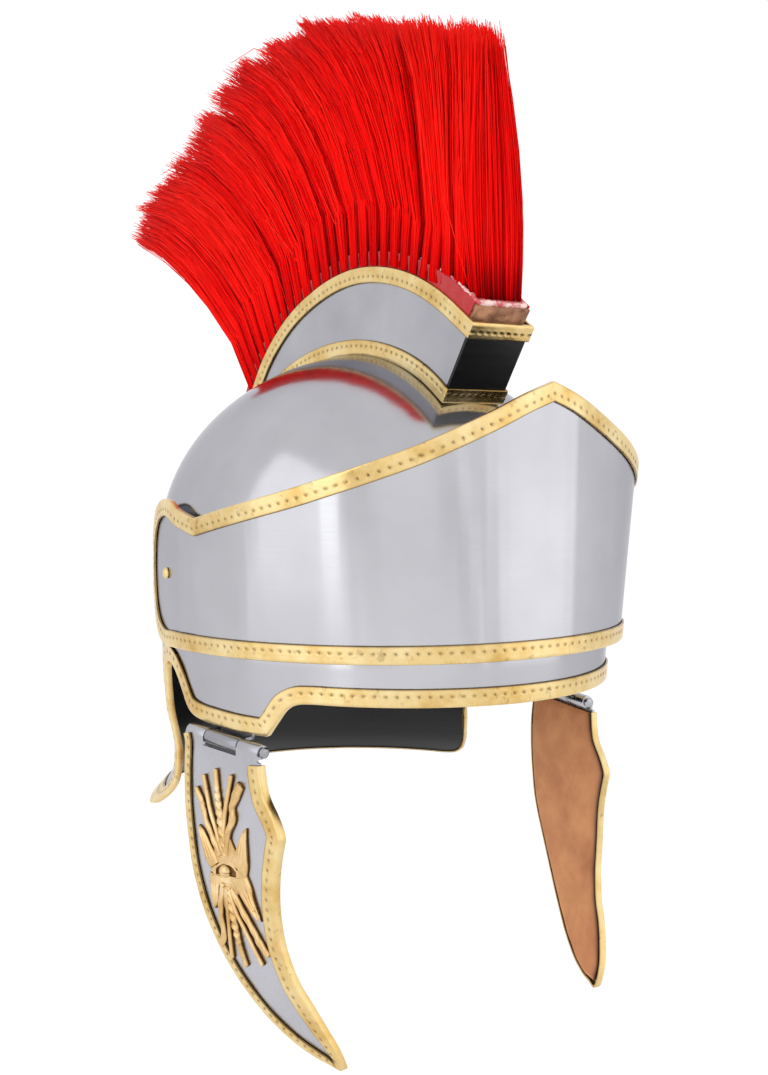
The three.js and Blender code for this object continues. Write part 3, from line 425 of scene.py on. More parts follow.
bowlSteel = polishedSteel("polishedSteelBowl", "#BCBCC1", "#AFAFB4", 0.15, waves=0.12)
bandSteel = polishedSteel("polishedSteelBand", "#BFBFC4", "#B4B4B9", 0.2, waves=0.6)
crestSteel = polishedSteel("groundSteelCrest", "#B9B9BE", "#A6A6AC", 0.24, waves=0.1)
cheekSteel = polishedSteel("groundSteelCheek", "#BDBDC3", "#ABABB1", 0.26, level=False)
pinSteel = polishedSteel("drawnSteelPin", "#B8B8BE", "#8C8C92", 0.24)
brass = wornBrass("punchedBrass")
castBrass = wornBrass("castBrass", "#C8A168", "#DDBC88", "#EFD8AC", 0.28)
leather = tannedLeather("tannedLeather")
blockLeather = tannedLeather("rawLeatherBlock", "#C48E6A", "#6A3C26", "#3C1E12", cloudSize=5.263)
black = satinBlack("satinBlackPaint")
hair = dyedHair("dyedHorsehair")
tape = wovenTape("cottonTape")
glue = driedGlue("driedGlue")
print("materials done")


# Skull

# rows of (back, up) along the lower edge, from the brow past the temple and the ear arch to the neck guard
skullEdge = np.array([
    (-67.5, -2.6), (-61, -3.4), (-55.5, -6.4), (-50.4, -12.7), (-45.6, -18.8), (-30, -18.6), (-15.5, -17.9),
    (-3, -17.2), (6, -15.8), (11, -12.6), (15, -7), (20, -0.6), (26, 3.9), (33, 5.4), (40, 3.4), (43.2, -3),
    (44.3, -17), (44, -31), (43.3, -45), (44.6, -56), (47.2, -61.6), (50, -65), (54.5, -67.9), (61, -69),
])
# how far the neck guard stands out of the ellipse at heights below the ear
neckShape = {"up": [-72, -69, -61, -44, -20, 14], "out": [8, 5, -2, -6, -2.6, 0]}


# share of the front half axis that is left at a height: the front leans back by a smooth step
def browLean(up):
    return 1 - smoothStep(up, skull["browFrom"], skull["browTo"]) * skull["browSlope"]


# turn is the angle from the front, positive to the wearer's right. The plan is an ellipse. It is upright to
# the foot of the dome, then both half axes shrink as sqrt(1 - climb^2); the front leans back with height.
def skullPoint(turn, up, out=0.0):
    turn, up, out = sameShape(turn, up, out)
    climb = np.clip((up - skull["domeFoot"]) / (skull["domeRise"] + out), 0, 1)
    close = np.sqrt(1 - climb**2)
    front = np.where(np.cos(turn) > 0, browLean(up), 1.0)
    flare = np.where(up < neckShape["up"][-1], throughTable(up, neckShape["up"], neckShape["out"]), 0.0)
    across = (skull["halfWidth"] + out + flare) * close
    along = (skull["halfLength"] * front + out + flare) * close
    return np.stack([-across * np.sin(turn), -along * np.cos(turn), up + rimUp], -1)


# turn at which the plan's ellipse is so far back: the arc cosine of the share of its half length
def turnOf(back):
    return np.arccos(-np.asarray(back, float) / skull["halfLength"])


# millimetres along the plan's ellipse for each radian of turn, the length of its slope there
def girth(turn):
    return np.hypot(skull["halfWidth"] * np.cos(turn), skull["halfLength"] * np.sin(turn))


# Rows of the bowl, each column starting at the lower edge: rows below the edge fold onto it and are merged.
# The inner wall is the same grid one sheet further in, painted black, and a lip joins both at the edge.
def makeSkull():
    foot, rise, sheet, neck = skull["domeFoot"], skull["domeRise"], skull["sheet"], skull["neckDepth"]
    backs = np.concatenate([np.linspace(start, end, count) for start, end, count in skull["sideColumns"]])
    edgeBack = np.maximum.accumulate(skullEdge[:, 0] + np.arange(len(skullEdge)) * 0.02)
    sides = turnOf(backs)
    frontTurns = np.linspace(0, sides[0], skull["frontColumns"])[:-1]
    rearTurns = np.linspace(sides[-1], np.pi, skull["rearColumns"])[1:]
    right = np.concatenate([frontTurns, sides, rearTurns])
    low = np.concatenate([np.full(len(frontTurns), skullEdge[0, 1]),
                          np.interp(backs, edgeBack, skullEdge[:, 1]), np.full(len(rearTurns), -neck)])
    turns = np.concatenate([right, 2 * np.pi - right[1:-1][::-1]])
    lows = np.concatenate([low, low[1:-1][::-1]])
    wallTop = neckShape["up"][-1]
    wall = np.concatenate([np.linspace(-neck, wallTop, skull["wallRows"]),
                           np.linspace(wallTop + 2, foot, skull["upperRows"])])
    dome = foot + rise * np.sin(np.linspace(0, np.pi / 2, skull["domeRows"])[1:])
    ups = np.maximum(np.concatenate([wall, dome])[:, None], lows[None, :])
    innerUps = np.where(ups > foot, foot + (ups - foot) * (rise - sheet) / rise, ups)
    walls = np.concatenate([skullPoint(turns[None, :], ups), skullPoint(turns[None, :], innerUps, -sheet)])
    rows, columns = ups.shape
    grid = gridFaces(rows, columns, closeColumns=True)
    k = np.arange(columns)
    lip = np.stack([k, (k + 1) % columns, (k + 1) % columns + rows * columns, k + rows * columns], 1)
    faces = np.concatenate([grid, lip, grid[:, ::-1] + rows * columns])
    made = meshObject("skullBowl", walls, faces, [bowlSteel, black])
    painted = (np.arange(len(faces)) >= len(grid) + len(lip)).astype(np.int32)
    made.data.polygons.foreach_set("material_index", painted)
    return settle(tidyMesh(made, sharp=0.7), "helmet", ["skull"])


# Folded brass edges

edging = {
    "thick": 0.8, "width": 6.8, "fold": 1.8, "lie": 0.42, "step": 0.9, "measured": 6000, "crease": 0.9,
    "pitch": 4.6, "punch": 0.66, "punchDeep": 0.4, "punchLine": 0.53, "punchDark": 0.95,
    "lipAt": 1.25, "lipWide": 0.45, "lipHigh": 0.07, "border": 0.75, "borderDark": 0.8, "foldShade": 0.2,
    "insideShade": 0.5, "waves": [(0.05, 3.7, 1.3), (0.04, 1.9, 0.0)],
}


# Outline of the strip as (reach over the plate, height off it) at each station: a lip under the edge, a
# rounded fold and a face as wide as asked there, and the same line one thickness further in.
def edgingProfile(width, fold):
    lie, top = edging["lie"], edging["lie"] + edging["thick"]
    width = np.asarray(width, float)[:, None]
    face = 0.6 + (width - 1.1) * np.linspace(0, 1, 13)
    ends = np.concatenate([width - 0.14, width], 1)

    # the same values at every station
    def fixed(values):
        return np.broadcast_to(np.asarray(values, float), (len(width), len(values)))
    outerReach = np.concatenate([fixed([-1.1, -1.1, -0.98, -0.6, 0.0]), face, ends], 1)
    outerOut = fixed([-fold, 0.45, 0.85, 1.12] + [top] * 14 + [top - 0.06, top - 0.24])
    innerReach = np.concatenate([fixed([-0.3, -0.3, -0.28, -0.15, 0.05]), face, ends], 1)
    innerOut = fixed([-fold, 0.2, 0.32, 0.4] + [lie] * 16)
    return outerReach, outerOut, innerReach, innerOut


# Stations of an edge, each with the inward step that keeps the strip's sides parallel: at a corner it points
# along the middle line and is longer.
def mitres(rows, per, closed, turning=False):
    rows = np.asarray(rows, float)
    ahead = np.roll(rows, -1, 0) - rows
    if turning:
        ahead[:, 0] = np.arctan2(np.sin(ahead[:, 0]), np.cos(ahead[:, 0]))
    ways = unit(ahead * np.stack([per, np.ones_like(per)], 1))
    inward = np.stack([-ways[:, 1], ways[:, 0]], 1)
    before = np.roll(inward, 1, 0)
    if not closed:
        before[0], inward[-1] = inward[0], before[-1]
    middle = unit(before + inward)
    return middle / np.maximum((middle * inward).sum(-1, keepdims=True), 0.55)


# Strip carried along an edge. place(share, reach, out) gives points for arrays of shares along the edge.
# Punch marks lie on one line of the face at an even pitch: each sinks the face by a bell curve of the
# distance from it, inside a low raised lip. The strip was bent by hand, so it stands off by slow small waves.
def foldedStrip(name, place, closed, width, fold=None, pitch=None):
    fold, pitch = fold or edging["fold"], pitch or edging["pitch"]
    fine = np.linspace(0, 1, edging["measured"])
    rough = place(fine, np.zeros((len(fine), 1)), np.zeros((len(fine), 1)))[:, 0]
    lengths = np.concatenate([[0], np.cumsum(np.linalg.norm(np.diff(rough, axis=0), axis=1))])
    total = lengths[-1]
    arc = np.linspace(0, total, int(total / edging["step"]) + 2)
    share = np.interp(arc, lengths, fine)
    if closed:
        share, arc = share[:-1], arc[:-1]
    pitch = total / max(1, round(total / pitch))
    widths = np.broadcast_to(width(share) if callable(width) else width, share.shape)
    outerReach, outerOut, innerReach, innerOut = edgingProfile(widths, fold)
    offMark = arc % pitch - pitch / 2
    fromMark = np.hypot(offMark[:, None], outerReach - widths[:, None] * edging["punchLine"])
    onFace = (outerReach > 0.02) & (outerOut > edging["lie"] + edging["thick"] - 0.02)
    bell = np.where(onFace, np.exp(-((fromMark / edging["punch"]) ** 2)), 0.0)
    lip = np.where(onFace, np.exp(-(((fromMark - edging["lipAt"]) / edging["lipWide"]) ** 2)), 0.0)
    waves = sum(high * np.sin(arc / run + start) for high, run, start in edging["waves"])[:, None]
    relief = lip * edging["lipHigh"] - edging["punchDeep"] * bell + waves * (outerReach > -0.2)
    outline = np.concatenate([place(share, outerReach, outerOut + relief),
                              place(share, innerReach, innerOut)[:, ::-1]], 1)
    stations, count = outline.shape[:2]
    faces = gridFaces(stations, count, True, True) if closed else foldedFaces(stations, count)
    # darkening for the brass: tarnish in the punch marks, darker along the inner border, painted shade on the
    # lip tucked under the edge and painted shade over the whole inner side that lies against the plate
    border = smoothStep(outerReach, widths[:, None] - edging["border"], widths[:, None])
    lipShade = np.where(outerOut < 0.2, edging["foldShade"], 0.0)
    dark = bell * edging["punchDark"] + border * edging["borderDark"] + lipShade
    tarnishAndShade = np.concatenate([np.clip(dark, 0, 1), edging["insideShade"] + 0 * innerReach], 1)
    made = meshObject(name, outline, faces, [brass], values={"tarnishAndShade": tarnishAndShade})
    return tidyMesh(made, sharp=edging["crease"], merge=False)


# a strip's place on a plate given by (turn, up), from the edge's stations
def onPlate(rows, point, per, closed, corners=(), turning=False):
    rows = np.asarray(rows, float)
    steps = mitres(rows, per(rows[:, 0]), closed, turning)
    if turning:
        rows = np.stack([np.unwrap(rows[:, 0]), rows[:, 1]], 1)
    both = np.concatenate([rows, steps], 1)
    ring = np.concatenate([both, both[:1] + [2 * np.pi, 0, 0, 0]]) if turning else both

    # the edge's row at a share, then a step inwards by its mitre, then the plate's own point off its face
    def place(share, reach, out):
        at = throughRows(ring, share, closed and not turning, corners)
        turn = at[:, None, 0] + at[:, None, 2] * reach / per(at[:, None, 0])
        return point(turn, at[:, None, 1] + at[:, None, 3] * reach, out)
    return place


# The skull's lower edge as rows of (turn, up): across the front, along the right side and round the neck,
# then back on the left, which mirrors the right. The line breaks at both temples.
def makeRimTrim():
    side = np.stack([turnOf(skullEdge[:, 0]), skullEdge[:, 1]], 1)
    step = np.pi / 32
    front = [(i * step, skullEdge[0, 1]) for i in range(10)]
    neck = [((22 + i) * step, -skull["neckDepth"]) for i in range(11)]
    right = np.array(front + side.tolist() + neck)
    left = right[1:-1][::-1].copy()
    left[:, 0] = 2 * np.pi - left[:, 0]
    rows = np.concatenate([right, left])
    temple = len(front) + skull["templeRow"]
    place = onPlate(rows, skullPoint, girth, True, [temple, len(rows) - temple], turning=True)
    made = foldedStrip("rimTrim", place, True, edging["width"])
    return settle(made, "helmet", ["rim_trim"])


makeSkull()
makeRimTrim()
print("skull done")


# Brow band

band = {"foot": 16.8, "dip": 0.85, "dipTurn": 1.8, "sheet": 1.2, "leanFrom": 15.0, "leanOver": 80.0,
        "lobeTurn": 1.784, "lobeUp": 47.2, "lobeRadius": 33.5}
# rows of degrees from the front, height of the upper edge, stand off at the foot and lean
bandShape = np.array([
    (0, 131.1, 3.1, 0.4), (8, 125.6, 3.3, 0.8), (20, 115.2, 4, 2), (33, 104.2, 4.8, 5), (46, 94.4, 5, 7.6),
    (58, 86.6, 4.6, 7.4), (72, 79.2, 3.6, 5), (86, 73, 2.2, 2), (90, 75.6, 1.9, 1.4), (102, 79.9, 1.2, 0.4),
    (120, 70, 1.1, 0.2),
])


# a wall round the skull's plan that stands off by its foot and leans out evenly with height
def bandPoint(turn, up, out=0.0):
    turn, up, out = sameShape(turn, up, out)
    angle = np.abs(np.degrees(turn))
    foot = throughTable(angle, bandShape[:, 0], bandShape[:, 2])
    lean = throughTable(angle, bandShape[:, 0], bandShape[:, 3])
    off = foot + band["sheet"] + lean * np.maximum(0, up - band["leanFrom"]) / band["leanOver"] + out
    return np.stack([-(skull["halfWidth"] + off) * np.sin(turn), -(skull["halfLength"] + off) * np.cos(turn),
                     up + rimUp], -1)


# lower edge: it sinks by the square of the turn as far as the lobe
def bandLow(turn):
    return band["foot"] - band["dip"] * np.minimum(turn, band["dipTurn"]) ** 2


# stations of the right half's lower and upper edges: straight to the notch, then round the lobe
def bandEdges(straight, rounds):
    turn = np.radians(straight)
    lobeAngles = np.asarray(rounds, float)
    lobeTurns = band["lobeTurn"] + np.sin(lobeAngles) * band["lobeRadius"] / girth(band["lobeTurn"])
    rise = np.maximum(0.3, np.cos(lobeAngles) * band["lobeRadius"])
    top = np.concatenate([np.interp(straight, bandShape[:8, 0], bandShape[:8, 1]), band["lobeUp"] + rise])
    low = np.concatenate([bandLow(turn), np.where(lobeAngles < 0, bandLow(lobeTurns), band["lobeUp"] - rise)])
    return np.concatenate([turn, lobeTurns]), low, top


# stations of the edging, in degrees from the front and then in radians round the lobe
straightAngles = np.array([0, 8, 16, 24, 33, 42, 50, 58, 68, 78, 86], float)
lobeAngles = [-0.5, -0.2, 0.1, 0.45, 0.8, 1.15, np.pi / 2]


# Columns from the lower to the upper edge at turns all across the front, low + (top - low) share, as a shell
# one sheet thick.
def makeBrowBand():
    straight = np.concatenate([np.linspace(0, 85, 100), np.linspace(85.4, 86, 3)])
    turns, low, top = bandEdges(straight, np.linspace(-0.5, np.pi / 2, 46))
    low = np.minimum(low, top - 0.4)
    turns = np.concatenate([-turns[:0:-1], turns])
    low, top = np.concatenate([low[:0:-1], low]), np.concatenate([top[:0:-1], top])
    ups = low + (top - low) * np.linspace(0, 1, 34)[:, None]
    shell = sheetShell(bandPoint(turns[None, :], ups), bandPoint(turns[None, :], ups, -band["sheet"]))
    made = meshObject("browBand", *shell, [bandSteel])
    return settle(tidyMesh(made, sharp=0.7), "helmet", ["brow_band"])


# the band's whole outline: the right half's lower edge, lobe and upper edge, then the left half's mirror
def makeBandTrim():
    turns, low, top = bandEdges(straightAngles, lobeAngles)
    lower = np.stack([turns, low], 1)[:-1]
    upper = np.stack([turns, top], 1)[:-1]
    right = np.concatenate([lower, [[turns[-1], band["lobeUp"]]], upper[::-1]])
    left = right[1:-1][::-1].copy()
    left[:, 0] *= -1
    rows = np.concatenate([right, left])
    peak = len(right) - 1
    notch = peak - len(straightAngles) + 1
    place = onPlate(rows, bandPoint, girth, True, [notch, peak, 2 * peak - notch])
    made = foldedStrip("bandTrim", place, True, edging["width"])
    return settle(made, "helmet", ["band_trim"])


rivet = {"tailRim": 1.6, "tail": 2.2, "tailDeep": 1.0, "tailEdge": 0.75, "shank": 1.4, "head": 2.7,
         "headRise": 1.9, "off": 0.3}


# domed rivets: a half round head turned about the line square to the wall, with its shank and inner head
def makeRivets():
    for side, sign in (("right", -1), ("left", 1)):
        seat = bandPoint(-sign * band["lobeTurn"], band["lobeUp"], rivet["off"])
        inside = skullPoint(-sign * band["lobeTurn"], band["lobeUp"], -skull["sheet"] - rivet["off"])
        reach = np.linalg.norm(seat - inside)
        axis = unit(seat - inside)
        tail = [(0, -rivet["tailDeep"]), (rivet["tailRim"], -rivet["tailDeep"]),
                (rivet["tail"], -rivet["tailEdge"]), (rivet["tail"], 0), (rivet["shank"], 0),
                (rivet["shank"], reach), (rivet["head"], reach)]
        around = np.linspace(0.12, 1.5, 9)
        dome = np.stack([rivet["head"] * np.cos(around), reach + rivet["headRise"] * np.sin(around)], 1)
        profile = np.vstack([tail, dome])
        sideways = unit(np.cross(axis, [0, 0, 1]))
        upright = np.cross(sideways, axis)
        rings = ringsRound(inside + axis * profile[:, 1:], profile[:, 0], sideways, upright, 28)
        made = meshObject(f"bandRivet_{side}", *closedTube(rings), [brass], sharp=0.8)
        settle(tidyMesh(made), "helmet", [f"band_rivet_{side}"])


makeBrowBand()
makeBandTrim()
makeRivets()
print("brow band done")


# Crest box

crest = {"halfWidth": 16.8, "sheet": 1.2, "front": -71.2, "back": 97.0, "topTrim": 6.6, "lowTrim": 6.4,
         "blockRise": 7.0, "blockStart": 0.014, "tapeStart": 0.024, "tapeEnd": 0.912, "gap": 0.3,
         "pitch": 4.0, "fold": 0.6, "topEnd": 0.985, "footEnd": 78.0, "turnIn": 0.012}
# rows of (back, up) along the box's upper edge
crestTop = np.array([
    (-91.7, 158.6), (-72.7, 171.7), (-52.5, 181.8), (-30, 188.1), (-6, 190), (18, 186.5), (43, 177.7),
    (62, 166.4), (78, 152), (90, 135), (98.5, 116.5),
])


# height of the dome over a point of the plan, by a few steps of the same formulas
def domeHeight(x, y):
    x, y = sameShape(x, y)
    up = np.full(x.shape, skull["domeFoot"] + skull["domeRise"])
    for _ in range(14):
        front = np.where(y < 0, browLean(up), 1.0)
        reach = (x / skull["halfWidth"]) ** 2 + (y / (skull["halfLength"] * front)) ** 2
        up = skull["domeFoot"] + skull["domeRise"] * np.sqrt(np.maximum(0, 1 - reach))
    return up


# foot of the crest: half a millimetre over the dome, and more towards the front
def crestFootUp(back, x):
    return domeHeight(x, back) + 0.5 + smoothStep(-np.asarray(back), 20, 75) * 1.2


# the upper edge in the side view at shares of its way from the front to the back
def crestLine(share):
    return throughRows(crestTop, share)


# direction of the upper edge, from two points close to each other
def crestWay(share):
    return unit(crestLine(np.clip(share + 0.001, 0, 1)) - crestLine(np.clip(share - 0.001, 0, 1)))


# a step off the crest's outer edge, square to it
def aboveCrest(share, step):
    way = crestWay(share)
    return crestLine(share) + np.stack([-way[..., 1], way[..., 0]], -1) * np.asarray(step)[..., None]


# the foot in the side view at even steps from the front to the back
def footLine(share, x, last=None):
    back = crest["front"] + (np.asarray(share) * ((last or crest["back"]) - crest["front"]))
    return np.stack([back, crestFootUp(back, x)], -1)


# plate or block between two sideways places: its side view runs between a foot line and a top line
def crestSlab(foot, top, lowX, highX, rows=7):
    lift = np.linspace(0, 1, rows)[None, :, None]
    side = foot[:, None] * (1 - lift) + top[:, None] * lift
    near = np.concatenate([np.full(side.shape[:2] + (1,), lowX), side], -1)
    far = np.concatenate([np.full(side.shape[:2] + (1,), highX), side], -1)
    outline = np.concatenate([near, far[:, ::-1]], 1)
    outline[..., 2] += rimUp
    return outline, foldedFaces(*outline.shape[:2])


# the way out of the sloping front face, square to the line from its foot to its top
def frontWay():
    foot, top = footLine(0.0, crest["halfWidth"] - crest["sheet"]), crestLine(0.0)
    return unit(np.array([foot[1] - top[1], top[0] - foot[0]]))


# Two crescent plates from the foot to the upper edge, and a plate across the front whose side view is the
# same four corners all the way over.
def makeCrestBox():
    share = np.linspace(0, 1, 90)
    inner = crest["halfWidth"] - crest["sheet"]
    for side, sign in (("right", -1), ("left", 1)):
        slab = crestSlab(footLine(share, inner), crestLine(share), sign * inner, sign * crest["halfWidth"])
        made = meshObject(f"crestSide_{side}", *slab, [crestSteel], sharp=0.6)
        settle(tidyMesh(made), "helmet", [f"crest_side_{side}"])
    foot, top = footLine(0.0, inner), crestLine(0.0)
    rise = float(crestFootUp(foot[0], 0.0) - foot[1])
    low = foot + (top - foot) * (rise + 0.4) / (top[1] - foot[1])
    near, far = frontWay() * crest["gap"], frontWay() * (crest["gap"] + crest["sheet"])
    xs = np.linspace(-crest["halfWidth"], crest["halfWidth"], 25)
    corners = np.array([low + near, low + far, top + far, top + near])
    sections = np.concatenate([np.broadcast_to(xs[:, None, None], (len(xs), 4, 1)),
                               np.broadcast_to(corners[None], (len(xs), 4, 2))], -1).copy()
    sections[..., 2] += rimUp
    made = meshObject("crestFront", *closedTube(sections), [black], sharp=0.6)
    settle(tidyMesh(made), "helmet", ["crest_front_plate"])


# The block fills the box and shows above it: raw mottled leather, lower at its back end.
def makeCrestBlock():
    share = np.linspace(crest["blockStart"], 1, 120)
    half = crest["halfWidth"] - crest["sheet"] - crest["gap"]
    rise = np.where(share < 0.97, crest["blockRise"], crest["blockRise"] * (1 - (share - 0.97) / 0.03 * 0.4))
    points, faces = crestSlab(footLine(share, 0.0), aboveCrest(share, rise), -half, half, rows=12)
    plain = np.zeros(points[..., 0].size)
    made = meshObject("crestBlock", points, faces, [blockLeather], values={"edge": plain})
    return settle(tidyMesh(made, sharp=0.6), "helmet", ["crest_block"])


# Tape folded over the block: a thin skin on three sides, with a soft swell along it. Each point of the
# section is (sideways, height over the crest, share of the swell), and both sides mirror each other.
def makePlumeTape():
    share = np.linspace(crest["tapeStart"], crest["tapeEnd"], 150)
    rise = crest["blockRise"]
    half = crest["halfWidth"] - crest["sheet"] - crest["gap"]
    outer = half + 1.0
    swell = 0.12 * np.sin(share * 190) + 0.1 * np.sin(share * 83 + 1)
    skin = [(outer, 1.2, 0), (outer, 4.0, 1), (outer - 0.1, rise + 0.9, 1), (outer - 0.7, rise + 1.2, 1)]
    back = [(half + 0.3, 1.2, 0), (half + 0.3, 4.0, 0), (half + 0.3, rise + 0.2, 0),
            (half + 0.1, rise + 0.3, 0)]
    leftSkin, leftBack = [(-x, *rest) for x, *rest in skin], [(-x, *rest) for x, *rest in back]
    section = leftSkin + skin[::-1] + back + leftBack[::-1]
    outline = []
    for x, step, soft in section:
        at = aboveCrest(share, step + 0 * share)
        outline.append(np.stack([x + np.sign(x) * soft * swell, at[:, 0], at[:, 1] + rimUp], -1))
    outline = np.stack(outline, 1)
    made = meshObject("plumeTape", outline, foldedFaces(*outline.shape[:2]), [tape], sharp=0.9)
    return settle(tidyMesh(made), "helmet", ["plume_tape"])


# A brass strip round the crest: up one side plate, across the sloping front and back along the other. Its
# stations hold the edge, the way inwards and the way out, all in space.
def crestStrip(name, node, edgeAt, inwardAt, width):
    side = crest["halfWidth"] + crest["gap"] - edging["lie"]
    ahead = frontWay()
    ahead3 = np.array([0, *ahead])
    shares = np.linspace(0, 1, 60)
    edge, inward = edgeAt(shares), inwardAt(shares)
    ones = np.ones((len(shares), 1))
    rows = []
    for sign, order in ((-1, slice(None, None, -1)), (1, slice(None))):
        rows.append(np.concatenate([sign * side * ones, edge[order], 0 * ones, inward[order],
                                    sign * ones, 0 * ones, 0 * ones], 1))
    across = np.linspace(-1, 1, 14)[1:-1, None]
    corner = edge[0] + ahead * (2 * crest["gap"] + crest["sheet"] - edging["lie"])
    bridge = np.concatenate([across * side, 0 * across + corner, 0 * across, 0 * across + inward[0],
                             0 * across + ahead3], 1)
    for part, pick in ((rows[0], -1), (rows[1], 0)):
        part[pick, 1:3] = corner
        part[pick, 6:9] = part[pick, 6:9] + ahead3
    path = np.concatenate([rows[0], bridge, rows[1]])
    gaps = np.linalg.norm(np.diff(path[:, :3], axis=0), axis=1)
    reached = np.concatenate([[0], np.cumsum(gaps)]) / gaps.sum()

    # a point of the path, then so far inwards over the plate and so far off it
    def place(share, reach, out):
        at = np.stack([np.interp(share, reached, path[:, k]) for k in range(9)], -1)
        reach, out = np.broadcast_arrays(np.atleast_2d(reach), np.atleast_2d(out))
        p = at[:, None, 0:3] + at[:, None, 3:6] * reach[..., None] + at[:, None, 6:9] * out[..., None]
        return p + [0, 0, rimUp]
    made = foldedStrip(name, place, False, width, fold=crest["fold"], pitch=crest["pitch"])
    return settle(made, "helmet", [node])


# The strips along the upper edge and the foot. Inwards is square to the edge, and close to the front it
# turns into the front face's own slope.
def makeCrestTrims():
    downFront = unit(footLine(0.0, crest["halfWidth"]) - crestLine(0.0))

    # the upper edge, stopping short of the back tip
    def topAt(share):
        return crestLine(share * crest["topEnd"])

    # the foot line as far as the upper strip leaves room for it
    def footAt(share):
        return footLine(share, crest["halfWidth"], last=crest["footEnd"]) + [0, 0.2]

    # down from the upper edge
    def inwardTop(share):
        way = crestWay(share)
        near = np.exp(-share / crest["turnIn"])[:, None]
        return unit(np.stack([way[:, 1], -way[:, 0]], -1) * (1 - near) + downFront * near)

    # up from the foot
    def inwardFoot(share):
        way = unit(footAt(np.clip(share + 0.01, 0, 1)) - footAt(np.clip(share - 0.01, 0, 1)))
        near = np.exp(-share / crest["turnIn"])[:, None]
        return unit(np.stack([-way[:, 1], way[:, 0]], -1) * (1 - near) - downFront * near)

    crestStrip("crestTrimTop", "crest_trim_top", topAt, inwardTop, crest["topTrim"])
    crestStrip("crestTrimBottom", "crest_trim_bottom", footAt, inwardFoot, crest["lowTrim"])


makeCrestBox()
makeCrestBlock()
makePlumeTape()
makeCrestTrims()
print("crest box done")


# Plume

plume = {
    "rootFront": 0.03, "rootBack": 0.907, "rootHalf": 13.0, "tipHalf": 7.5, "tufts": 27, "hairsEach": 158,
    "pieces": 3, "thick": 0.66, "segments": 5, "seed": 11, "tapeSide": 17.2, "lowRoot": 1.6, "strays": 0.012,
    "coreWidth": 0.66, "widest": 18.5, "rootRise": crest["blockRise"] + 1.2, "gathered": 0.66, "fan": 1.3,
    "fill": 0.52, "endFill": 0.9, "long": 0.965, "rounded": 0.05, "short": 0.25, "shortest": 0.55,
    "longest": 1.012, "outside": 0.72, "bulge": 1.5, "wave": 0.5, "waves": 8, "thinTo": 0.5,
}
# red of a hair from 0, dark, to 1, light: its mean, then what is added or taken along it and between tufts;
# the dark roots, dark tuft edges and darker core are painted shade
hairShade = {"mean": 0.52, "stray": 0.3, "along": 0.1, "root": 0.3, "rootRun": 0.06, "gap": 0.25, "core": 0.3}
# how far tufts, hairs and strays spread about their mean: standard deviations
spread = {
    "tuftLong": 0.02, "tuftBow": 0.03, "tuftLean": 0.3, "tuftSide": 1.0, "tuftShade": 0.07, "lean": 0.17,
    "strayLean": 1.4, "long": 0.016, "bow": 0.022, "strayBow": 0.14, "side": 0.5, "shade": 0.12,
}
# rows of (back, up) along the cut ends of the hair, from the front to the back
strandTips = np.array([
    (-86.3, 290), (-50.3, 300), (-10.6, 313.6), (47.6, 324.6), (91, 322.3), (128, 317.4), (160, 302.5),
    (190, 284), (222, 268), (251, 256), (250, 236),
])


# Strand plane at a share from the front to the back: a curve from the root strip to the tip line, whose
# handle stands square to the crest, more upright towards the front. It starts some way above the crest line.
def strandCurve(share, t, lift, above):
    rootShare = plume["rootFront"] + (plume["rootBack"] - plume["rootFront"]) * np.clip(share, 0, 1)
    root = aboveCrest(rootShare, above + 0 * share)
    tip = throughRows(strandTips, np.clip(share, 0, 1))
    way = crestWay(rootShare)
    upright = 0.75 - 0.3 * np.minimum(1, 4 * share)
    square = np.stack([-way[..., 1], way[..., 0]], -1)
    rise = unit(square * (1 - upright)[..., None] + np.array([0.2, 1]) * upright[..., None])
    handle = root + rise * (0.5 + lift)[..., None] * np.linalg.norm(tip - root, axis=-1, keepdims=True)
    t = t[..., None]
    root, handle, tip = root[..., None, :], handle[..., None, :], tip[..., None, :]
    return (1 - t) ** 2 * root + 2 * t * (1 - t) * handle + t**2 * tip


# half width of the plume along a hair: it narrows by t^1.4 and swells by half a sine wave
def plumeHalf(t):
    half = plume["rootHalf"] + (plume["tipHalf"] - plume["rootHalf"]) * t**1.4
    return half * (1 + 0.3 * np.sin(np.pi * np.minimum(1, t * 1.1)))


# Core that fills the plume, a little inside the hair, in a darker red that paints the shade inside the plume:
# the strand planes swept from front to back.
def makePlumeCore():
    share, t = np.linspace(0.035, 0.975, 90), np.linspace(0.0, 0.86, 16)
    side = strandCurve(share, np.broadcast_to(t, (len(share), len(t))), 0 * share, plume["rootRise"])
    half = plumeHalf(t) * plume["coreWidth"] * np.where(t > 0.6, 1 - (t - 0.6) * 3.2, 1.0)
    half = half[None, :] * (1 - 0.12 * np.cos(share * plume["tufts"] * 2 * np.pi))[:, None]
    right = np.stack([-half, side[..., 0], side[..., 1] + rimUp], -1)
    outline = np.concatenate([right, (right * [-1, 1, 1])[:, ::-1]], 1)
    # the core's darker red is painted shade
    shade = np.full(outline[..., 0].size, hairShade["core"])
    made = meshObject("plumeCore", outline, foldedFaces(*outline.shape[:2]), [hair], values={"shade": shade})
    return settle(tidyMesh(made), "helmet", [])


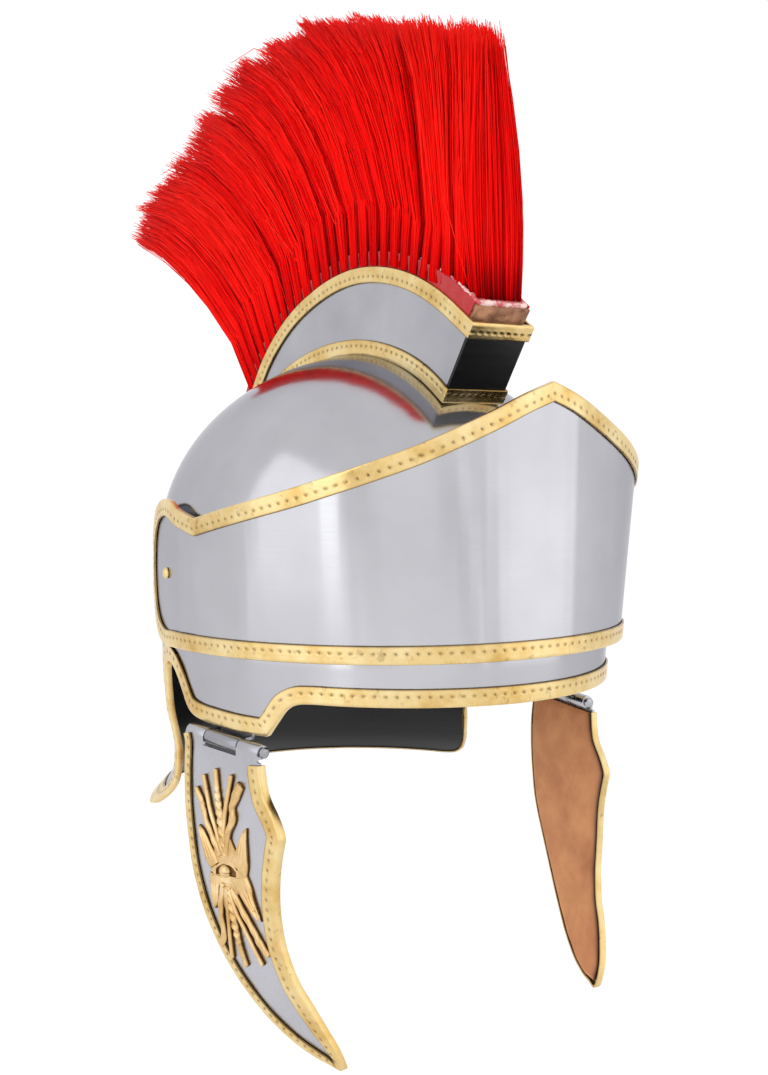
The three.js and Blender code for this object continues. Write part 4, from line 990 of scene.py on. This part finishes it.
# Hairs in tufts. Every hair is a three sided strand that thins to its tip. Hairs of a tuft are gathered at
# the root and part towards the tips; tufts differ in length and bow, which makes the ragged outline. Behind
# the front quarter the outer hairs start on the sides of the tape, so they hide it.
def makePlumeHair():
    rng = np.random.default_rng(plume["seed"])
    tufts, each = plume["tufts"], plume["hairsEach"]
    tuftLong = rng.normal(0, spread["tuftLong"], tufts)
    tuftBow = rng.normal(0, spread["tuftBow"], tufts)
    tuftLean = rng.normal(0, spread["tuftLean"], tufts)
    tuftSide = rng.normal(0, spread["tuftSide"], (2, tufts))
    tuftShade = rng.normal(0, spread["tuftShade"], (2, tufts))
    t = np.linspace(0, 1, plume["segments"] + 1)
    for piece in range(plume["pieces"]):
        tuft = np.repeat(np.arange(tufts), each)
        count = len(tuft)
        apart = rng.uniform(-0.5, 0.5, count)
        side = np.where(rng.uniform(-1, 1, count) < 0, -1, 1)
        endTuft = (tuft == 0) | (tuft == tufts - 1)
        layer = rng.uniform(0, 1, count) ** np.where(endTuft, plume["endFill"], plume["fill"])
        stray = rng.uniform(0, 1, count) < plume["strays"]
        rootShare = (tuft + 0.5 + apart * plume["gathered"]) / tufts
        lean = tuftLean[tuft] + apart * plume["fan"] + rng.normal(0, spread["lean"], count)
        lean = lean + stray * rng.normal(0, spread["strayLean"], count)
        tipShare = np.clip((tuft + 0.5 + lean) / tufts, 0.0, 1.0)
        reach = plume["long"] + tuftLong[tuft] - plume["rounded"] * (apart * 2) ** 2
        reach = reach + rng.normal(0, spread["long"], count)
        reach = reach - rng.uniform(0, 1, count) ** 6 * plume["short"]
        reach = np.clip(reach, plume["shortest"], plume["longest"])
        along = t[None, :] * reach[:, None]
        share = np.clip(rootShare[:, None] + (tipShare - rootShare)[:, None] * smoothStep(t, -0.15, 1), 0, 1)
        low = smoothStep(rootShare, -0.02, 0.17) * (layer > plume["outside"])
        above = plume["rootRise"] - low * (plume["rootRise"] - plume["lowRoot"])
        bow = tuftBow[tuft] + rng.normal(0, spread["bow"], count)
        bow = bow + stray * rng.normal(0, spread["strayBow"], count)
        bow, above = np.repeat(bow, len(t)), np.repeat(above, len(t))
        at = strandCurve(share.ravel(), along.reshape(-1, 1), bow, above).reshape(count, len(t), 2)
        tucked = low[:, None] * (1 - smoothStep(along, 0.0, 0.2))
        half = plumeHalf(along) * (1 - tucked) * layer[:, None] + plume["tapeSide"] * tucked
        sideways = np.where(side > 0, tuftSide[1][tuft], tuftSide[0][tuft])
        bulge = plume["bulge"] * (1 - (apart * 2) ** 2)[:, None] * smoothStep(along, 0.05, 0.4)
        sideways = sideways + rng.normal(0, spread["side"], count)
        x = side[:, None] * (half + bulge * layer[:, None] + sideways[:, None] * along)
        wave = plume["wave"] * np.sin(along * plume["waves"] + rng.uniform(0, 6.3, count)[:, None]) * along
        x = np.clip(x + wave, -plume["widest"], plume["widest"])
        centreLine = np.stack([x, at[..., 0], at[..., 1] + rimUp], -1)
        way = unit(np.gradient(centreLine, axis=1))
        across = unit(np.cross(way, [1.0, 0.15, 0.1]))
        other = np.cross(way, across)
        thin = plume["thick"] / 2 * (1 - plume["thinTo"] * t**2)
        angles = rng.uniform(0, 2 * np.pi, count)[:, None] + np.arange(3) * 2 * np.pi / 3
        ring = (np.cos(angles)[:, None, :, None] * across[:, :, None] + np.sin(angles)[:, None, :, None]
                * other[:, :, None]) * thin[None, :, None, None]
        points = centreLine[:, :, None] + ring
        perHair = len(t) * 3
        first = (np.arange(count) * perHair)[:, None, None]
        quads = gridFaces(len(t), 3, closeColumns=True)[None] + first
        ends = np.array([[2, 1, 0], [perHair - 3, perHair - 2, perHair - 1]])[None] + first
        tris = np.concatenate([quads[..., [0, 1, 2]].reshape(-1, 3), quads[..., [0, 2, 3]].reshape(-1, 3),
                               ends.reshape(-1, 3)])
        shadeOf = np.where(side > 0, tuftShade[1][tuft], tuftShade[0][tuft])
        own = rng.normal(hairShade["mean"], spread["shade"], count) + shadeOf + stray * hairShade["stray"]
        # painted shade: darker at the roots, less for outer hairs on the tape's sides, and darker at each
        # tuft's edges where tufts part
        root = hairShade["root"] * np.exp(-along / hairShade["rootRun"]) * (1 - low[:, None] * 0.5)
        shade = own[:, None] + hairShade["along"] * along - root
        shade = shade - hairShade["gap"] * (np.abs(apart * 2) ** 4)[:, None]
        shade = np.repeat(np.clip(shade, 0, 1)[:, :, None], 3, 2)
        made = meshObject(f"plumeHair{piece + 1}", points, tris, [hair], values={"shade": shade})
        settle(made, "helmet", ["plume"] if piece == 0 else [])


# Glue bead where the hair leaves the tape: a thin uneven cord round the root strip, thick across the front.
def makeGlue():
    sides, across = np.linspace(0.6, plume["rootFront"], 200), np.linspace(-1, 1, 26)[1:-1]
    share = np.concatenate([sides, np.full(len(across), crest["tapeStart"] - 0.001), sides[::-1]])
    x = np.concatenate([-np.ones(len(sides)), across, np.ones(len(sides))]) * (plume["rootHalf"] + 1.3)
    front = np.exp(-((share - plume["rootFront"]) / 0.05) ** 2)
    uneven = 0.25 * np.sin(share * 310) + 0.2 * np.sin(x * 2.1)
    at = aboveCrest(share, plume["rootRise"] + 0.1 - 0.7 * front + uneven)
    line = np.stack([x + 0.35 * np.sin(share * 170), at[:, 0], at[:, 1] + rimUp], -1)
    radius = 0.4 + 0.9 * front + 0.3 * np.sin(share * 420 + x) * np.sin(share * 97 + x * 0.9)
    way = unit(np.gradient(line, axis=0))
    sideways = unit(np.cross(way, [0.0, 0.05, 1.0]))
    rings = ringsRound(line, radius, sideways, np.cross(sideways, way), 8)
    made = meshObject("plumeGlue", *closedTube(rings), [glue])
    return settle(tidyMesh(made), "helmet", [])


makePlumeCore()
makePlumeHair()
makeGlue()
print("plume done")


# Hinges and cheek guards

hinge = {"side": 101.8, "back": -19.6, "up": -24.0, "plan": 0.147, "slope": 0.0592, "pin": 2.0, "barrel": 3.3,
         "rear": -21.5, "rearSplit": -8.5, "frontSplit": 14.8, "front": 29.0, "play": 0.4,
         "leafIn": -7.4, "leafOut": -6.2, "leafTop": -22.0, "leafFoot": -1.8}
cheek = {"straight": 68.0, "bend": 0.002, "sweep": 0.4, "sweepFrom": 30.0, "sweepTo": 90.0, "settle": 0.4,
         "settleBy": 25.0, "lean": 0.015, "sheet": 1.2, "rearTrim": 3.4, "frontTrim": 7.4, "fold": 2.5,
         "pitch": 4.2, "lining": 1.5, "inset": 0.5, "liningTop": 5.4, "liningGap": 0.3, "dyed": 1.2}
# rows of (along, down) from the pin along the rear and the front edge
cheekRear = np.array([
    (-19.6, 5), (-20.1, 15), (-20.1, 24), (-19.1, 36), (-16.2, 51.2), (-13.2, 62.1), (-7.6, 74.3),
    (0.4, 87.3), (10.1, 100), (19.8, 110.1), (31.1, 119.6), (44.3, 127.1), (54.6, 130.4), (61.8, 131.4),
])
cheekFront = np.array([
    (30.8, 5), (32.3, 13), (34.7, 19.3), (40.9, 26.9), (44.5, 33.1), (44.2, 36.8), (42.9, 43), (41.8, 51),
    (41.7, 61.1), (42.7, 72.1), (44.8, 84.1), (49.7, 96.8), (56.5, 106.3), (62, 115.2), (66.4, 123.6),
])
cheekTip = (67.6, 131.8)


class HingeFrame:
    # the hinge's own directions for the right (-1) or left (1) side: along the pin to the front, down from
    # it and out from the head, each square to the others
    def __init__(self, sign):
        cp, sp, cs = np.cos(hinge["plan"]), np.sin(hinge["plan"]), np.cos(hinge["slope"])
        self.along = np.array([-sign * sp * cs, -cp * cs, -np.sin(hinge["slope"])])
        self.out = np.array([sign * cp, -sp, 0.0])
        down = unit(np.cross(self.along, self.out))
        self.down = -down if down[2] > 0 else down
        self.origin = np.array([sign * hinge["side"], hinge["back"], hinge["up"] + rimUp])

    # origin + along, down and out times their directions
    def place(self, along, down, out):
        along, down, out = sameShape(along, down, out)
        return (self.origin + along[..., None] * self.along + down[..., None] * self.down
                + out[..., None] * self.out)

    # Face of the cheek guard: tangent to the barrel, then bending in by the square of the distance along the
    # blade past its straight part. Distance along the blade counts more for what lies further forward.
    def face(self, along, down, out=0.0):
        along, down = sameShape(along, down)
        forward = smoothStep(down, cheek["sweepFrom"], cheek["sweepTo"])
        depth = down + cheek["sweep"] * along * forward
        bend = cheek["bend"] * np.maximum(0, depth - cheek["straight"]) ** 2
        inward = cheek["settle"] * smoothStep(down, 0, cheek["settleBy"]) + cheek["lean"] * down + bend
        return self.place(along, down, hinge["barrel"] - inward + out)


# round bar or tube along the pin between two places, with its ends rounded over by a given step
def pinBar(hingeFrame, start, end, radius, count=24, rounding=0.5):
    steps = rounding * np.array([0, 0.3, 1])
    places = np.concatenate([start + steps, end - steps[::-1]])
    radii = radius - rounding * np.array([1, 0.3, 0, 0, 0.3, 1])
    angles = np.linspace(0, 2 * np.pi, count, endpoint=False)
    radii = radii[:, None]
    return closedTube(hingeFrame.place(places[:, None], radii * np.cos(angles), radii * np.sin(angles)))


# box in the hinge's own directions
def hingeBox(hingeFrame, along, down, out):
    corners = [(down[0], out[0]), (down[1], out[0]), (down[1], out[1]), (down[0], out[1])]
    rings = np.stack([np.stack([hingeFrame.place(a, d, o) for d, o in corners]) for a in along])
    return closedTube(rings)


# pin with its head, and the fixed leaf: the middle knuckle and two boxes that join it to the skull's inside
def makeHinge(side, hingeFrame):
    shaft = pinBar(hingeFrame, hinge["rear"] - 0.8, hinge["front"] + 0.6, hinge["pin"], rounding=0.6)
    head = pinBar(hingeFrame, hinge["front"] + 0.2, hinge["front"] + 2, hinge["pin"] + 0.6, rounding=0.9)
    pin = meshObject(f"hingePin_{side}", *joinShells([shaft, head]), [pinSteel], sharp=0.9)
    settle(tidyMesh(pin), "helmet", [f"hinge_pin_{side}"])
    start, end = hinge["rearSplit"] + hinge["play"], hinge["frontSplit"] - hinge["play"]
    inner, outer, top, foot = hinge["leafIn"], hinge["leafOut"], hinge["leafTop"], hinge["leafFoot"]
    thick = outer - inner
    shells = [pinBar(hingeFrame, start, end, hinge["barrel"]),
              hingeBox(hingeFrame, (start, end), (top, foot), (inner, outer)),
              hingeBox(hingeFrame, (start, end), (foot - thick, foot), (inner, -2.4))]
    leaf = meshObject(f"hingeLeaf_{side}", *joinShells(shells), [pinSteel], sharp=0.7)
    settle(tidyMesh(leaf), "helmet", [f"hinge_leaf_{side}"])


# rear and front edge of the plate at depths below the pin, drawn in by an inset that grows where they slant
def cheekEdges(down, inset=0.0):
    rear = np.vstack([cheekRear, cheekTip])
    front = np.vstack([cheekFront, cheekTip])
    slant = 1 + 1.6 * smoothStep(down, 70, 130)
    return (np.interp(down, rear[:, 1], rear[:, 0]) + inset * slant,
            np.interp(down, front[:, 1], front[:, 0]) - inset * (1 + 0.5 * (slant - 1)))


# Plate: rows across from the rear to the front edge, closer together towards the tip, then thickened
# inwards. Its two knuckles are rolled tubes round the pin.
def makeCheekPlate(side, hingeFrame):
    down = np.concatenate([np.linspace(4, 110, 70), np.linspace(111, 131, 24)])
    rear, front = cheekEdges(down)
    keep = front - rear > 0.6
    down, rear, front = down[keep], rear[keep], front[keep]
    u = np.linspace(0, 1, 26)
    along = rear[:, None] + (front - rear)[:, None] * u
    shells = [sheetShell(hingeFrame.face(along, down[:, None]),
                         hingeFrame.face(along, down[:, None], -cheek["sheet"]))]
    for low, high in ((hinge["rear"], hinge["rearSplit"]), (hinge["frontSplit"], hinge["front"])):
        span = np.linspace(low, high, 8)
        depths = np.linspace(0.0, 5.4, 5)[:, None]
        shells.append(sheetShell(hingeFrame.face(span, depths),
                                 hingeFrame.face(span, depths, -cheek["sheet"])))
        shells.append(pinBar(hingeFrame, low, high, hinge["barrel"]))
    made = meshObject(f"cheekPlate_{side}", *joinShells(shells), [cheekSteel], sharp=0.7)
    return settle(tidyMesh(made), f"cheek_{side}", [f"cheek_plate_{side}"])


# The strip starts at the barrel, runs down the rear edge, round the tip and up the front edge. It is widest
# in front and narrows into the tip. It wraps the plate and the leather's edge.
def makeCheekTrim(side, hingeFrame):
    rear = np.vstack([(-20.9, 0.8), cheekRear])
    rows = np.vstack([rear, cheekTip, cheekFront[::-1]])
    tip = len(rear)
    widthRows = {
        "at": [0, 8, 12, tip - 2, tip - 1, tip, tip + 1, tip + 2, tip + 3, len(rows) - 1],
        "width": [cheek["rearTrim"], 3.6, 3.8, 3.6, 2.6, 1.5, 3.8, 6.0] + [cheek["frontTrim"]] * 2,
    }
    stations = np.stack([rows[:, 0], -rows[:, 1]], 1)

    # the plate's face, with up counted against down
    def point(along, up, out):
        return hingeFrame.face(along, -up, out)

    # width read along the rows
    def widthAt(share):
        return np.interp(share * (len(rows) - 1), widthRows["at"], widthRows["width"])
    place = onPlate(stations, point, np.ones_like, False)
    made = foldedStrip(f"cheekTrim_{side}", place, False, widthAt, fold=cheek["fold"], pitch=cheek["pitch"])
    return settle(made, f"cheek_{side}", [f"cheek_trim_{side}"])


# Lining: a leather sheet just inside the plate, its edges rounded by an exponential of the distance from
# them, and its front edge dyed dark.
def makeCheekLining(side, hingeFrame):
    down = np.concatenate([np.linspace(cheek["liningTop"], 108, 60), np.linspace(109, 130.6, 22)])
    rear, front = cheekEdges(down, cheek["inset"])
    keep = front - rear > 0.5
    down, rear, front = down[keep][:, None], rear[keep][:, None], front[keep][:, None]
    along = rear + (front - rear) * np.linspace(0, 1, 30)
    near = np.minimum(np.minimum(along - rear, front - along), np.minimum(down[-1] - down, down - down[0]))
    rounded = 0.45 * np.exp(-near / 0.6)
    face = -cheek["sheet"] - cheek["liningGap"]
    outer = hingeFrame.face(along, down, face)
    inner = hingeFrame.face(along, down, face - cheek["lining"] + rounded)
    dark = np.clip(1.1 * np.exp(-(front - along) / cheek["dyed"]), 0, 1).ravel()
    made = meshObject(f"cheekLining_{side}", *sheetShell(outer, inner), [leather], sharp=0.9,
                      values={"edge": np.concatenate([dark, dark])})
    return settle(tidyMesh(made), f"cheek_{side}", [f"cheek_lining_{side}"])


# Winged thunderbolt

bolt = {
    "centre": (9.4, 57.3), "relief": 2.0, "foot": 0.02, "off": 0.35, "knobHalf": (3.5, 3.0), "knobRise": 3.1,
    "lid": 0.5, "arm": 0.86, "twist": 0.42, "twistTurns": 1.7, "swell": 0.12, "swellTurns": 0.9,
    "feathers": 4,
}
# how high a blade stands, as a share of the relief, and how deep its feathers are cut
bladeKinds = {"pit": (0.06, 0.0), "palm": (0.42, 0.04), "wing": (0.66, 0.16)}
# arms from the middle outwards: half widths along the way, and rows of (along, down) from the pin
boltArms = [
    {"kind": "spear", "half": [2.7, 2.5, 1.6, 1.5],
     "line": [(9, 50), (6.7, 39.2), (4.2, 29), (2.5, 19.7), (1.5, 12.4)]},
    {"kind": "dart", "half": [1.2, 1.2],
     "line": [(7.5, 49), (3.2, 41), (-1.3, 32.9), (-3.9, 26), (-6.9, 16.8)]},
    {"kind": "dart", "half": [1.3, 1.3],
     "line": [(9, 48), (8.1, 36.6), (10, 24.8), (12.8, 12.8)]},
    {"kind": "flame", "half": [1.6, 1.8, 1.5, 1.9, 1.2],
     "line": [(6, 51), (1.1, 45.2), (-4.6, 37.6), (-7.8, 30.4), (-12.4, 23.8)]},
    {"kind": "flame", "half": [1.6, 1.7, 2.3, 1.9, 2.8, 2.4],
     "line": [(9.8, 49), (11, 39.5), (13.8, 32.8), (13.4, 27.5), (15.8, 21.6), (19, 15.8)]},
    {"kind": "spear", "half": [2.9, 2.7, 2, 1.5, 1.5],
     "line": [(10.6, 64), (13, 70), (15.9, 80.2), (18.3, 89), (21.5, 98.4)]},
    {"kind": "dart", "half": [1.1, 1.1],
     "line": [(10.6, 65), (11.5, 73), (12.1, 85), (12.5, 97.2)]},
    {"kind": "dart", "half": [1.3, 1.2],
     "line": [(13, 66), (17, 73.4), (22.6, 80.3), (32.6, 94.3)]},
    {"kind": "flame", "half": [1.5, 1.8, 1.6, 2, 1.3],
     "line": [(8.5, 63), (6.7, 71), (6.6, 79), (8, 87.2), (6, 92.8)]},
    {"kind": "flame", "half": [1.6, 2, 1.8, 2.3, 1.8],
     "line": [(14.5, 64.5), (21.8, 72.4), (28.2, 79), (32.1, 84.1), (37.2, 88.5)]},
    {"kind": "lid", "half": [0.5, 1, 1, 0.5],
     "line": [(1, 59.4), (4.6, 55.6), (9.4, 53.2), (14.4, 53.8), (19.4, 57)]},
    {"kind": "lid", "half": [0.5, 1, 1, 0.5],
     "line": [(1, 59.8), (4.6, 61.6), (9.8, 62.3), (14.8, 61), (19.4, 57.4)]},
]
# blades between two edges, each as rows of (along, down) from the root to the tip
boltBlades = [
    {"kind": "pit", "lead": [(-1.4, 59.6), (4, 54.4), (9.4, 51.8), (15, 52), (23, 55.4)],
     "trail": [(-1.3, 60.2), (4.2, 61.9), (10, 62.2), (15.8, 60.5), (23, 56)]},
    {"kind": "palm", "lead": [(3, 55.4), (1.4, 56.2), (-1.3, 59)],
     "trail": [(3, 61.4), (1.4, 61), (-1.2, 60)]},
    {"kind": "palm", "lead": [(17.2, 54.6), (20, 53.4), (24.6, 55.8)],
     "trail": [(17.2, 60), (20, 59.4), (24.7, 56.2)]},
    {"kind": "palm", "lead": [(0.4, 54.6), (0.6, 50.5), (0.4, 44.5), (4, 37)],
     "trail": [(22, 53.4), (16.4, 47), (12.4, 42), (10, 37)]},
    {"kind": "palm", "lead": [(-1.4, 60.8), (5, 65.5), (7.6, 72), (11.6, 80)],
     "trail": [(24.6, 57), (18.8, 65), (17.2, 71), (16, 80)]},
    {"kind": "wing", "lead": [(-1.2, 58.6), (-4.5, 55.9), (-6.8, 51), (-9.1, 45.5), (-10.2, 41)],
     "trail": [(4.4, 54.6), (2.6, 51.6), (-0.6, 48), (-5, 43.4), (-9.9, 40.8)]},
    {"kind": "wing", "lead": [(24.2, 55.9), (24.8, 51.6), (24.3, 45.9), (23.5, 39.4), (23.3, 34.4)],
     "trail": [(13, 51.6), (16, 46.3), (18, 41.7), (19.9, 37.6), (23, 34.4)]},
    {"kind": "wing", "lead": [(-1.5, 60.4), (-1.4, 64.4), (-0.6, 68.8), (0.5, 73.1), (2, 76.6)],
     "trail": [(7.4, 60.4), (5.8, 63), (5.3, 67.1), (4.8, 71.9), (2.3, 76.6)]},
    {"kind": "wing", "lead": [(24.6, 56), (27.4, 59.9), (29.5, 64.7), (32, 69.3), (33.7, 73.6)],
     "trail": [(13, 60), (18.8, 64.8), (24.2, 69), (28.6, 71.9), (33.2, 73.6)]},
]


# shell standing on the plate from a grid of (along, down) and heights; its darkening, patina and painted
# shade, grows towards the plate, and its foot underneath is all painted shade
def reliefShell(hingeFrame, along, down, height):
    top = hingeFrame.face(along, down, bolt["off"] + height)
    foot = hingeFrame.face(along, down, bolt["foot"] + 0 * height)
    points, faces = sheetShell(top, foot)
    dark = np.clip(1.05 - height / 0.75, 0, 1).ravel()
    return points, faces, np.concatenate([dark, np.ones(height.size)])


# One arm: across it the height is a flattened half round. A spear carries a rope twist, cut as a sine that
# slants as one goes across; a flame swells and thins along its way; a lid is a low smooth bead.
def boltArm(hingeFrame, arm):
    share = np.linspace(0, 1, 44)
    line = throughRows(arm["line"], share)
    way = unit(np.gradient(line, axis=0))
    length = np.linalg.norm(np.diff(line, axis=0), axis=1).sum()
    u = np.linspace(-1, 1, 11)
    half = np.interp(share, np.linspace(0, 1, len(arm["half"])), arm["half"])
    half = half * np.sqrt(np.clip(1 - (np.maximum(share - 0.97, 0) / 0.031) ** 2, 0.1, 1))
    top = bolt["relief"] * (bolt["lid"] if arm["kind"] == "lid" else bolt["arm"])
    height = top * (1 - 0.12 * share)[:, None] * (1 - np.abs(u) ** 3)[None, :] ** 0.6
    run = share[:, None] * length
    if arm["kind"] == "spear":
        twist = bolt["twist"] * np.sin(run * bolt["twistTurns"] + u[None, :] * 2.6)
        height = height * (1 + twist * (1 - smoothStep(share, 0.6, 0.8))[:, None])
    if arm["kind"] == "flame":
        height = height * (1 + bolt["swell"] * np.sin(run * bolt["swellTurns"] - u[None, :] * 1.5))
    across = np.stack([-way[:, 1], way[:, 0]], -1)
    spot = line[:, None] + across[:, None] * (u[None, :] * half[:, None])[..., None]
    return reliefShell(hingeFrame, spot[..., 0], spot[..., 1], height)


# A blade between its leading and its trailing edge, with feathers cut along it. The palms are the low bodies
# that the arms grow out of, smoother than the wings.
def boltBlade(hingeFrame, blade):
    share, u = np.linspace(0, 1, 26), np.linspace(0, 1, 25)
    lead, trail = throughRows(blade["lead"], share), throughRows(blade["trail"], share)
    spot = lead[:, None] * (1 - u)[None, :, None] + trail[:, None] * u[None, :, None]
    border = (1 - np.abs(2 * u - 1) ** 6)[None, :] * (1 - share**8)[:, None]
    rise, feathers = bladeKinds[blade["kind"]]
    cuts = np.cos(u * 2 * np.pi * bolt["feathers"])[None, :] * smoothStep(share, 0.15, 0.4)[:, None]
    height = bolt["relief"] * rise * np.sqrt(border) * (1 + feathers * cuts)
    return reliefShell(hingeFrame, spot[..., 0], spot[..., 1], height)


# all arms and blades, and a knob in the middle whose height is the cosine of the angle from its top
def makeCheekEmblem(side, hingeFrame):
    shells = [boltArm(hingeFrame, arm) for arm in boltArms]
    shells += [boltBlade(hingeFrame, blade) for blade in boltBlades]
    polar, angle = np.linspace(0, np.pi / 2, 12)[:, None], np.linspace(0, 2 * np.pi, 40)[None, :]
    (middleAlong, middleDown), (wide, deep) = bolt["centre"], bolt["knobHalf"]
    shells.append(reliefShell(hingeFrame, middleAlong + wide * np.sin(polar) * np.cos(angle),
                              middleDown + deep * np.sin(polar) * np.sin(angle),
                              bolt["knobRise"] * np.cos(polar) + 0 * angle))
    points, faces = joinShells([shell[:2] for shell in shells])
    tarnishAndShade = np.concatenate([shell[2] for shell in shells])
    made = meshObject(f"cheekEmblem_{side}", points, faces, [castBrass], values={"tarnishAndShade": tarnishAndShade})
    return settle(tidyMesh(made, sharp=0.9), f"cheek_{side}", [f"cheek_emblem_{side}"])


for sideName, sideSign in (("right", -1), ("left", 1)):
    hingeFrame = HingeFrame(sideSign)
    makeHinge(sideName, hingeFrame)
    makeCheekPlate(sideName, hingeFrame)
    makeCheekTrim(sideName, hingeFrame)
    makeCheekLining(sideName, hingeFrame)
    makeCheekEmblem(sideName, hingeFrame)
print("cheek guards done")


# Stage, lights and camera

# the floor's drop below the helmet and its side, in metres
stage = {"floorDrop": 0.2, "floorSize": 40.0, "white": "#FAFAFA", "worldStrength": 1.05}
# turn in degrees, places and sizes in metres, power in watts
lamps = [
    {"name": "boxRight", "turn": 94, "away": 1.7, "up": 0.1, "size": (1.4, 3.6), "power": 8.6},
    {"name": "stripRight", "turn": 70, "away": 1.6, "up": 0.1, "size": (0.26, 3.2), "power": 3.2},
    {"name": "boxFill", "turn": 27, "away": 1.9, "up": 0.1, "size": (1.3, 3.4), "power": 3.2},
    {"name": "stripFront", "turn": -2, "away": 1.7, "up": 0.1, "size": (0.07, 3.2), "power": 0.6},
    {"name": "boxLeft", "turn": -32, "away": 1.7, "up": 0.1, "size": (1.3, 3.4), "power": 6.8},
]
# place in metres, angles in radians, lens and sensor in mm
photoView = {"place": (-0.4033, -0.5499, 0.1013 + rimUp * mm), "turn": 0.6371, "pitch": 0.0592,
             "roll": -0.0052, "lens": 46.09, "sensor": 36.0}


# one wide level square under the helmet, clear of it
def makeFloor():
    low = (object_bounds()[0][2] - stage["floorDrop"]) / mm
    half = stage["floorSize"] / 2 / mm
    corners = [(-half, -half, low), (half, -half, low), (half, half, low), (-half, half, low)]
    made, tree = newMaterial("paleFloor")
    shader = add(tree, "ShaderNodeBsdfPrincipled", {"Base Color": linear(stage["white"]), "Roughness": 0.9})
    add(tree, "ShaderNodeOutputMaterial", links={"Surface": shader.outputs[0]})
    meshObject("floor", corners, [[0, 1, 2, 3]], [made], smooth=False)


# even white light from all sides
def makeWorld():
    world = bpy.data.worlds.new("softStudio")
    world.use_nodes = True
    light = world.node_tree.nodes["Background"].inputs
    light["Color"].default_value = linear("#FFFFFF")
    light["Strength"].default_value = stage["worldStrength"]
    bpy.context.scene.world = world


# Tall soft boxes round the helmet, each at a turn from the front towards the wearer's right. Their images in
# the upright brow band are the light bars of the photograph.
def makeLamps():
    middle = Vector((0, 0, 0))
    for lamp in lamps:
        data = bpy.data.lights.new(lamp["name"], "AREA")
        data.shape = "RECTANGLE"
        data.size, data.size_y = lamp["size"]
        data.energy = lamp["power"]
        made = bpy.data.objects.new(lamp["name"], data)
        turn = np.radians(lamp["turn"])
        made.location = (-lamp["away"] * np.sin(turn), -lamp["away"] * np.cos(turn), lamp["up"])
        made.rotation_euler = (middle - made.location).to_track_quat("-Z", "Y").to_euler()
        made.visible_camera = False
        bpy.context.scene.collection.objects.link(made)


# camera at the photograph's place: turned from the front to the wearer's right, looking slightly down; its
# three directions are products of sines and cosines of the turn, the pitch and the roll
def makeCamera():
    turn, pitch, roll = photoView["turn"], photoView["pitch"], photoView["roll"]
    back = np.array([-np.sin(turn), -np.cos(turn), 0])
    right = np.array([np.cos(turn), -np.sin(turn), 0])
    ahead = -back * np.cos(pitch) - np.array([0, 0, 1]) * np.sin(pitch)
    above = np.array([0, 0, 1]) * np.cos(pitch) - back * np.sin(pitch)
    x = right * np.cos(roll) + above * np.sin(roll)
    y = -right * np.sin(roll) + above * np.cos(roll)
    data = bpy.data.cameras.new("photoCamera")
    data.lens = photoView["lens"]
    data.sensor_width = data.sensor_height = photoView["sensor"]
    data.clip_start, data.clip_end = 0.02, 50
    made = bpy.data.objects.new("photoCamera", data)
    turned = Matrix(np.stack([x, y, -ahead], 1).tolist()).to_4x4()
    made.matrix_world = Matrix.Translation(photoView["place"]) @ turned
    bpy.context.scene.collection.objects.link(made)
    bpy.context.scene.camera = made


makeFloor()
makeWorld()
makeLamps()
makeCamera()
bpy.context.scene.view_settings.view_transform = "Standard"
bpy.context.view_layer.update()
print("stage done")
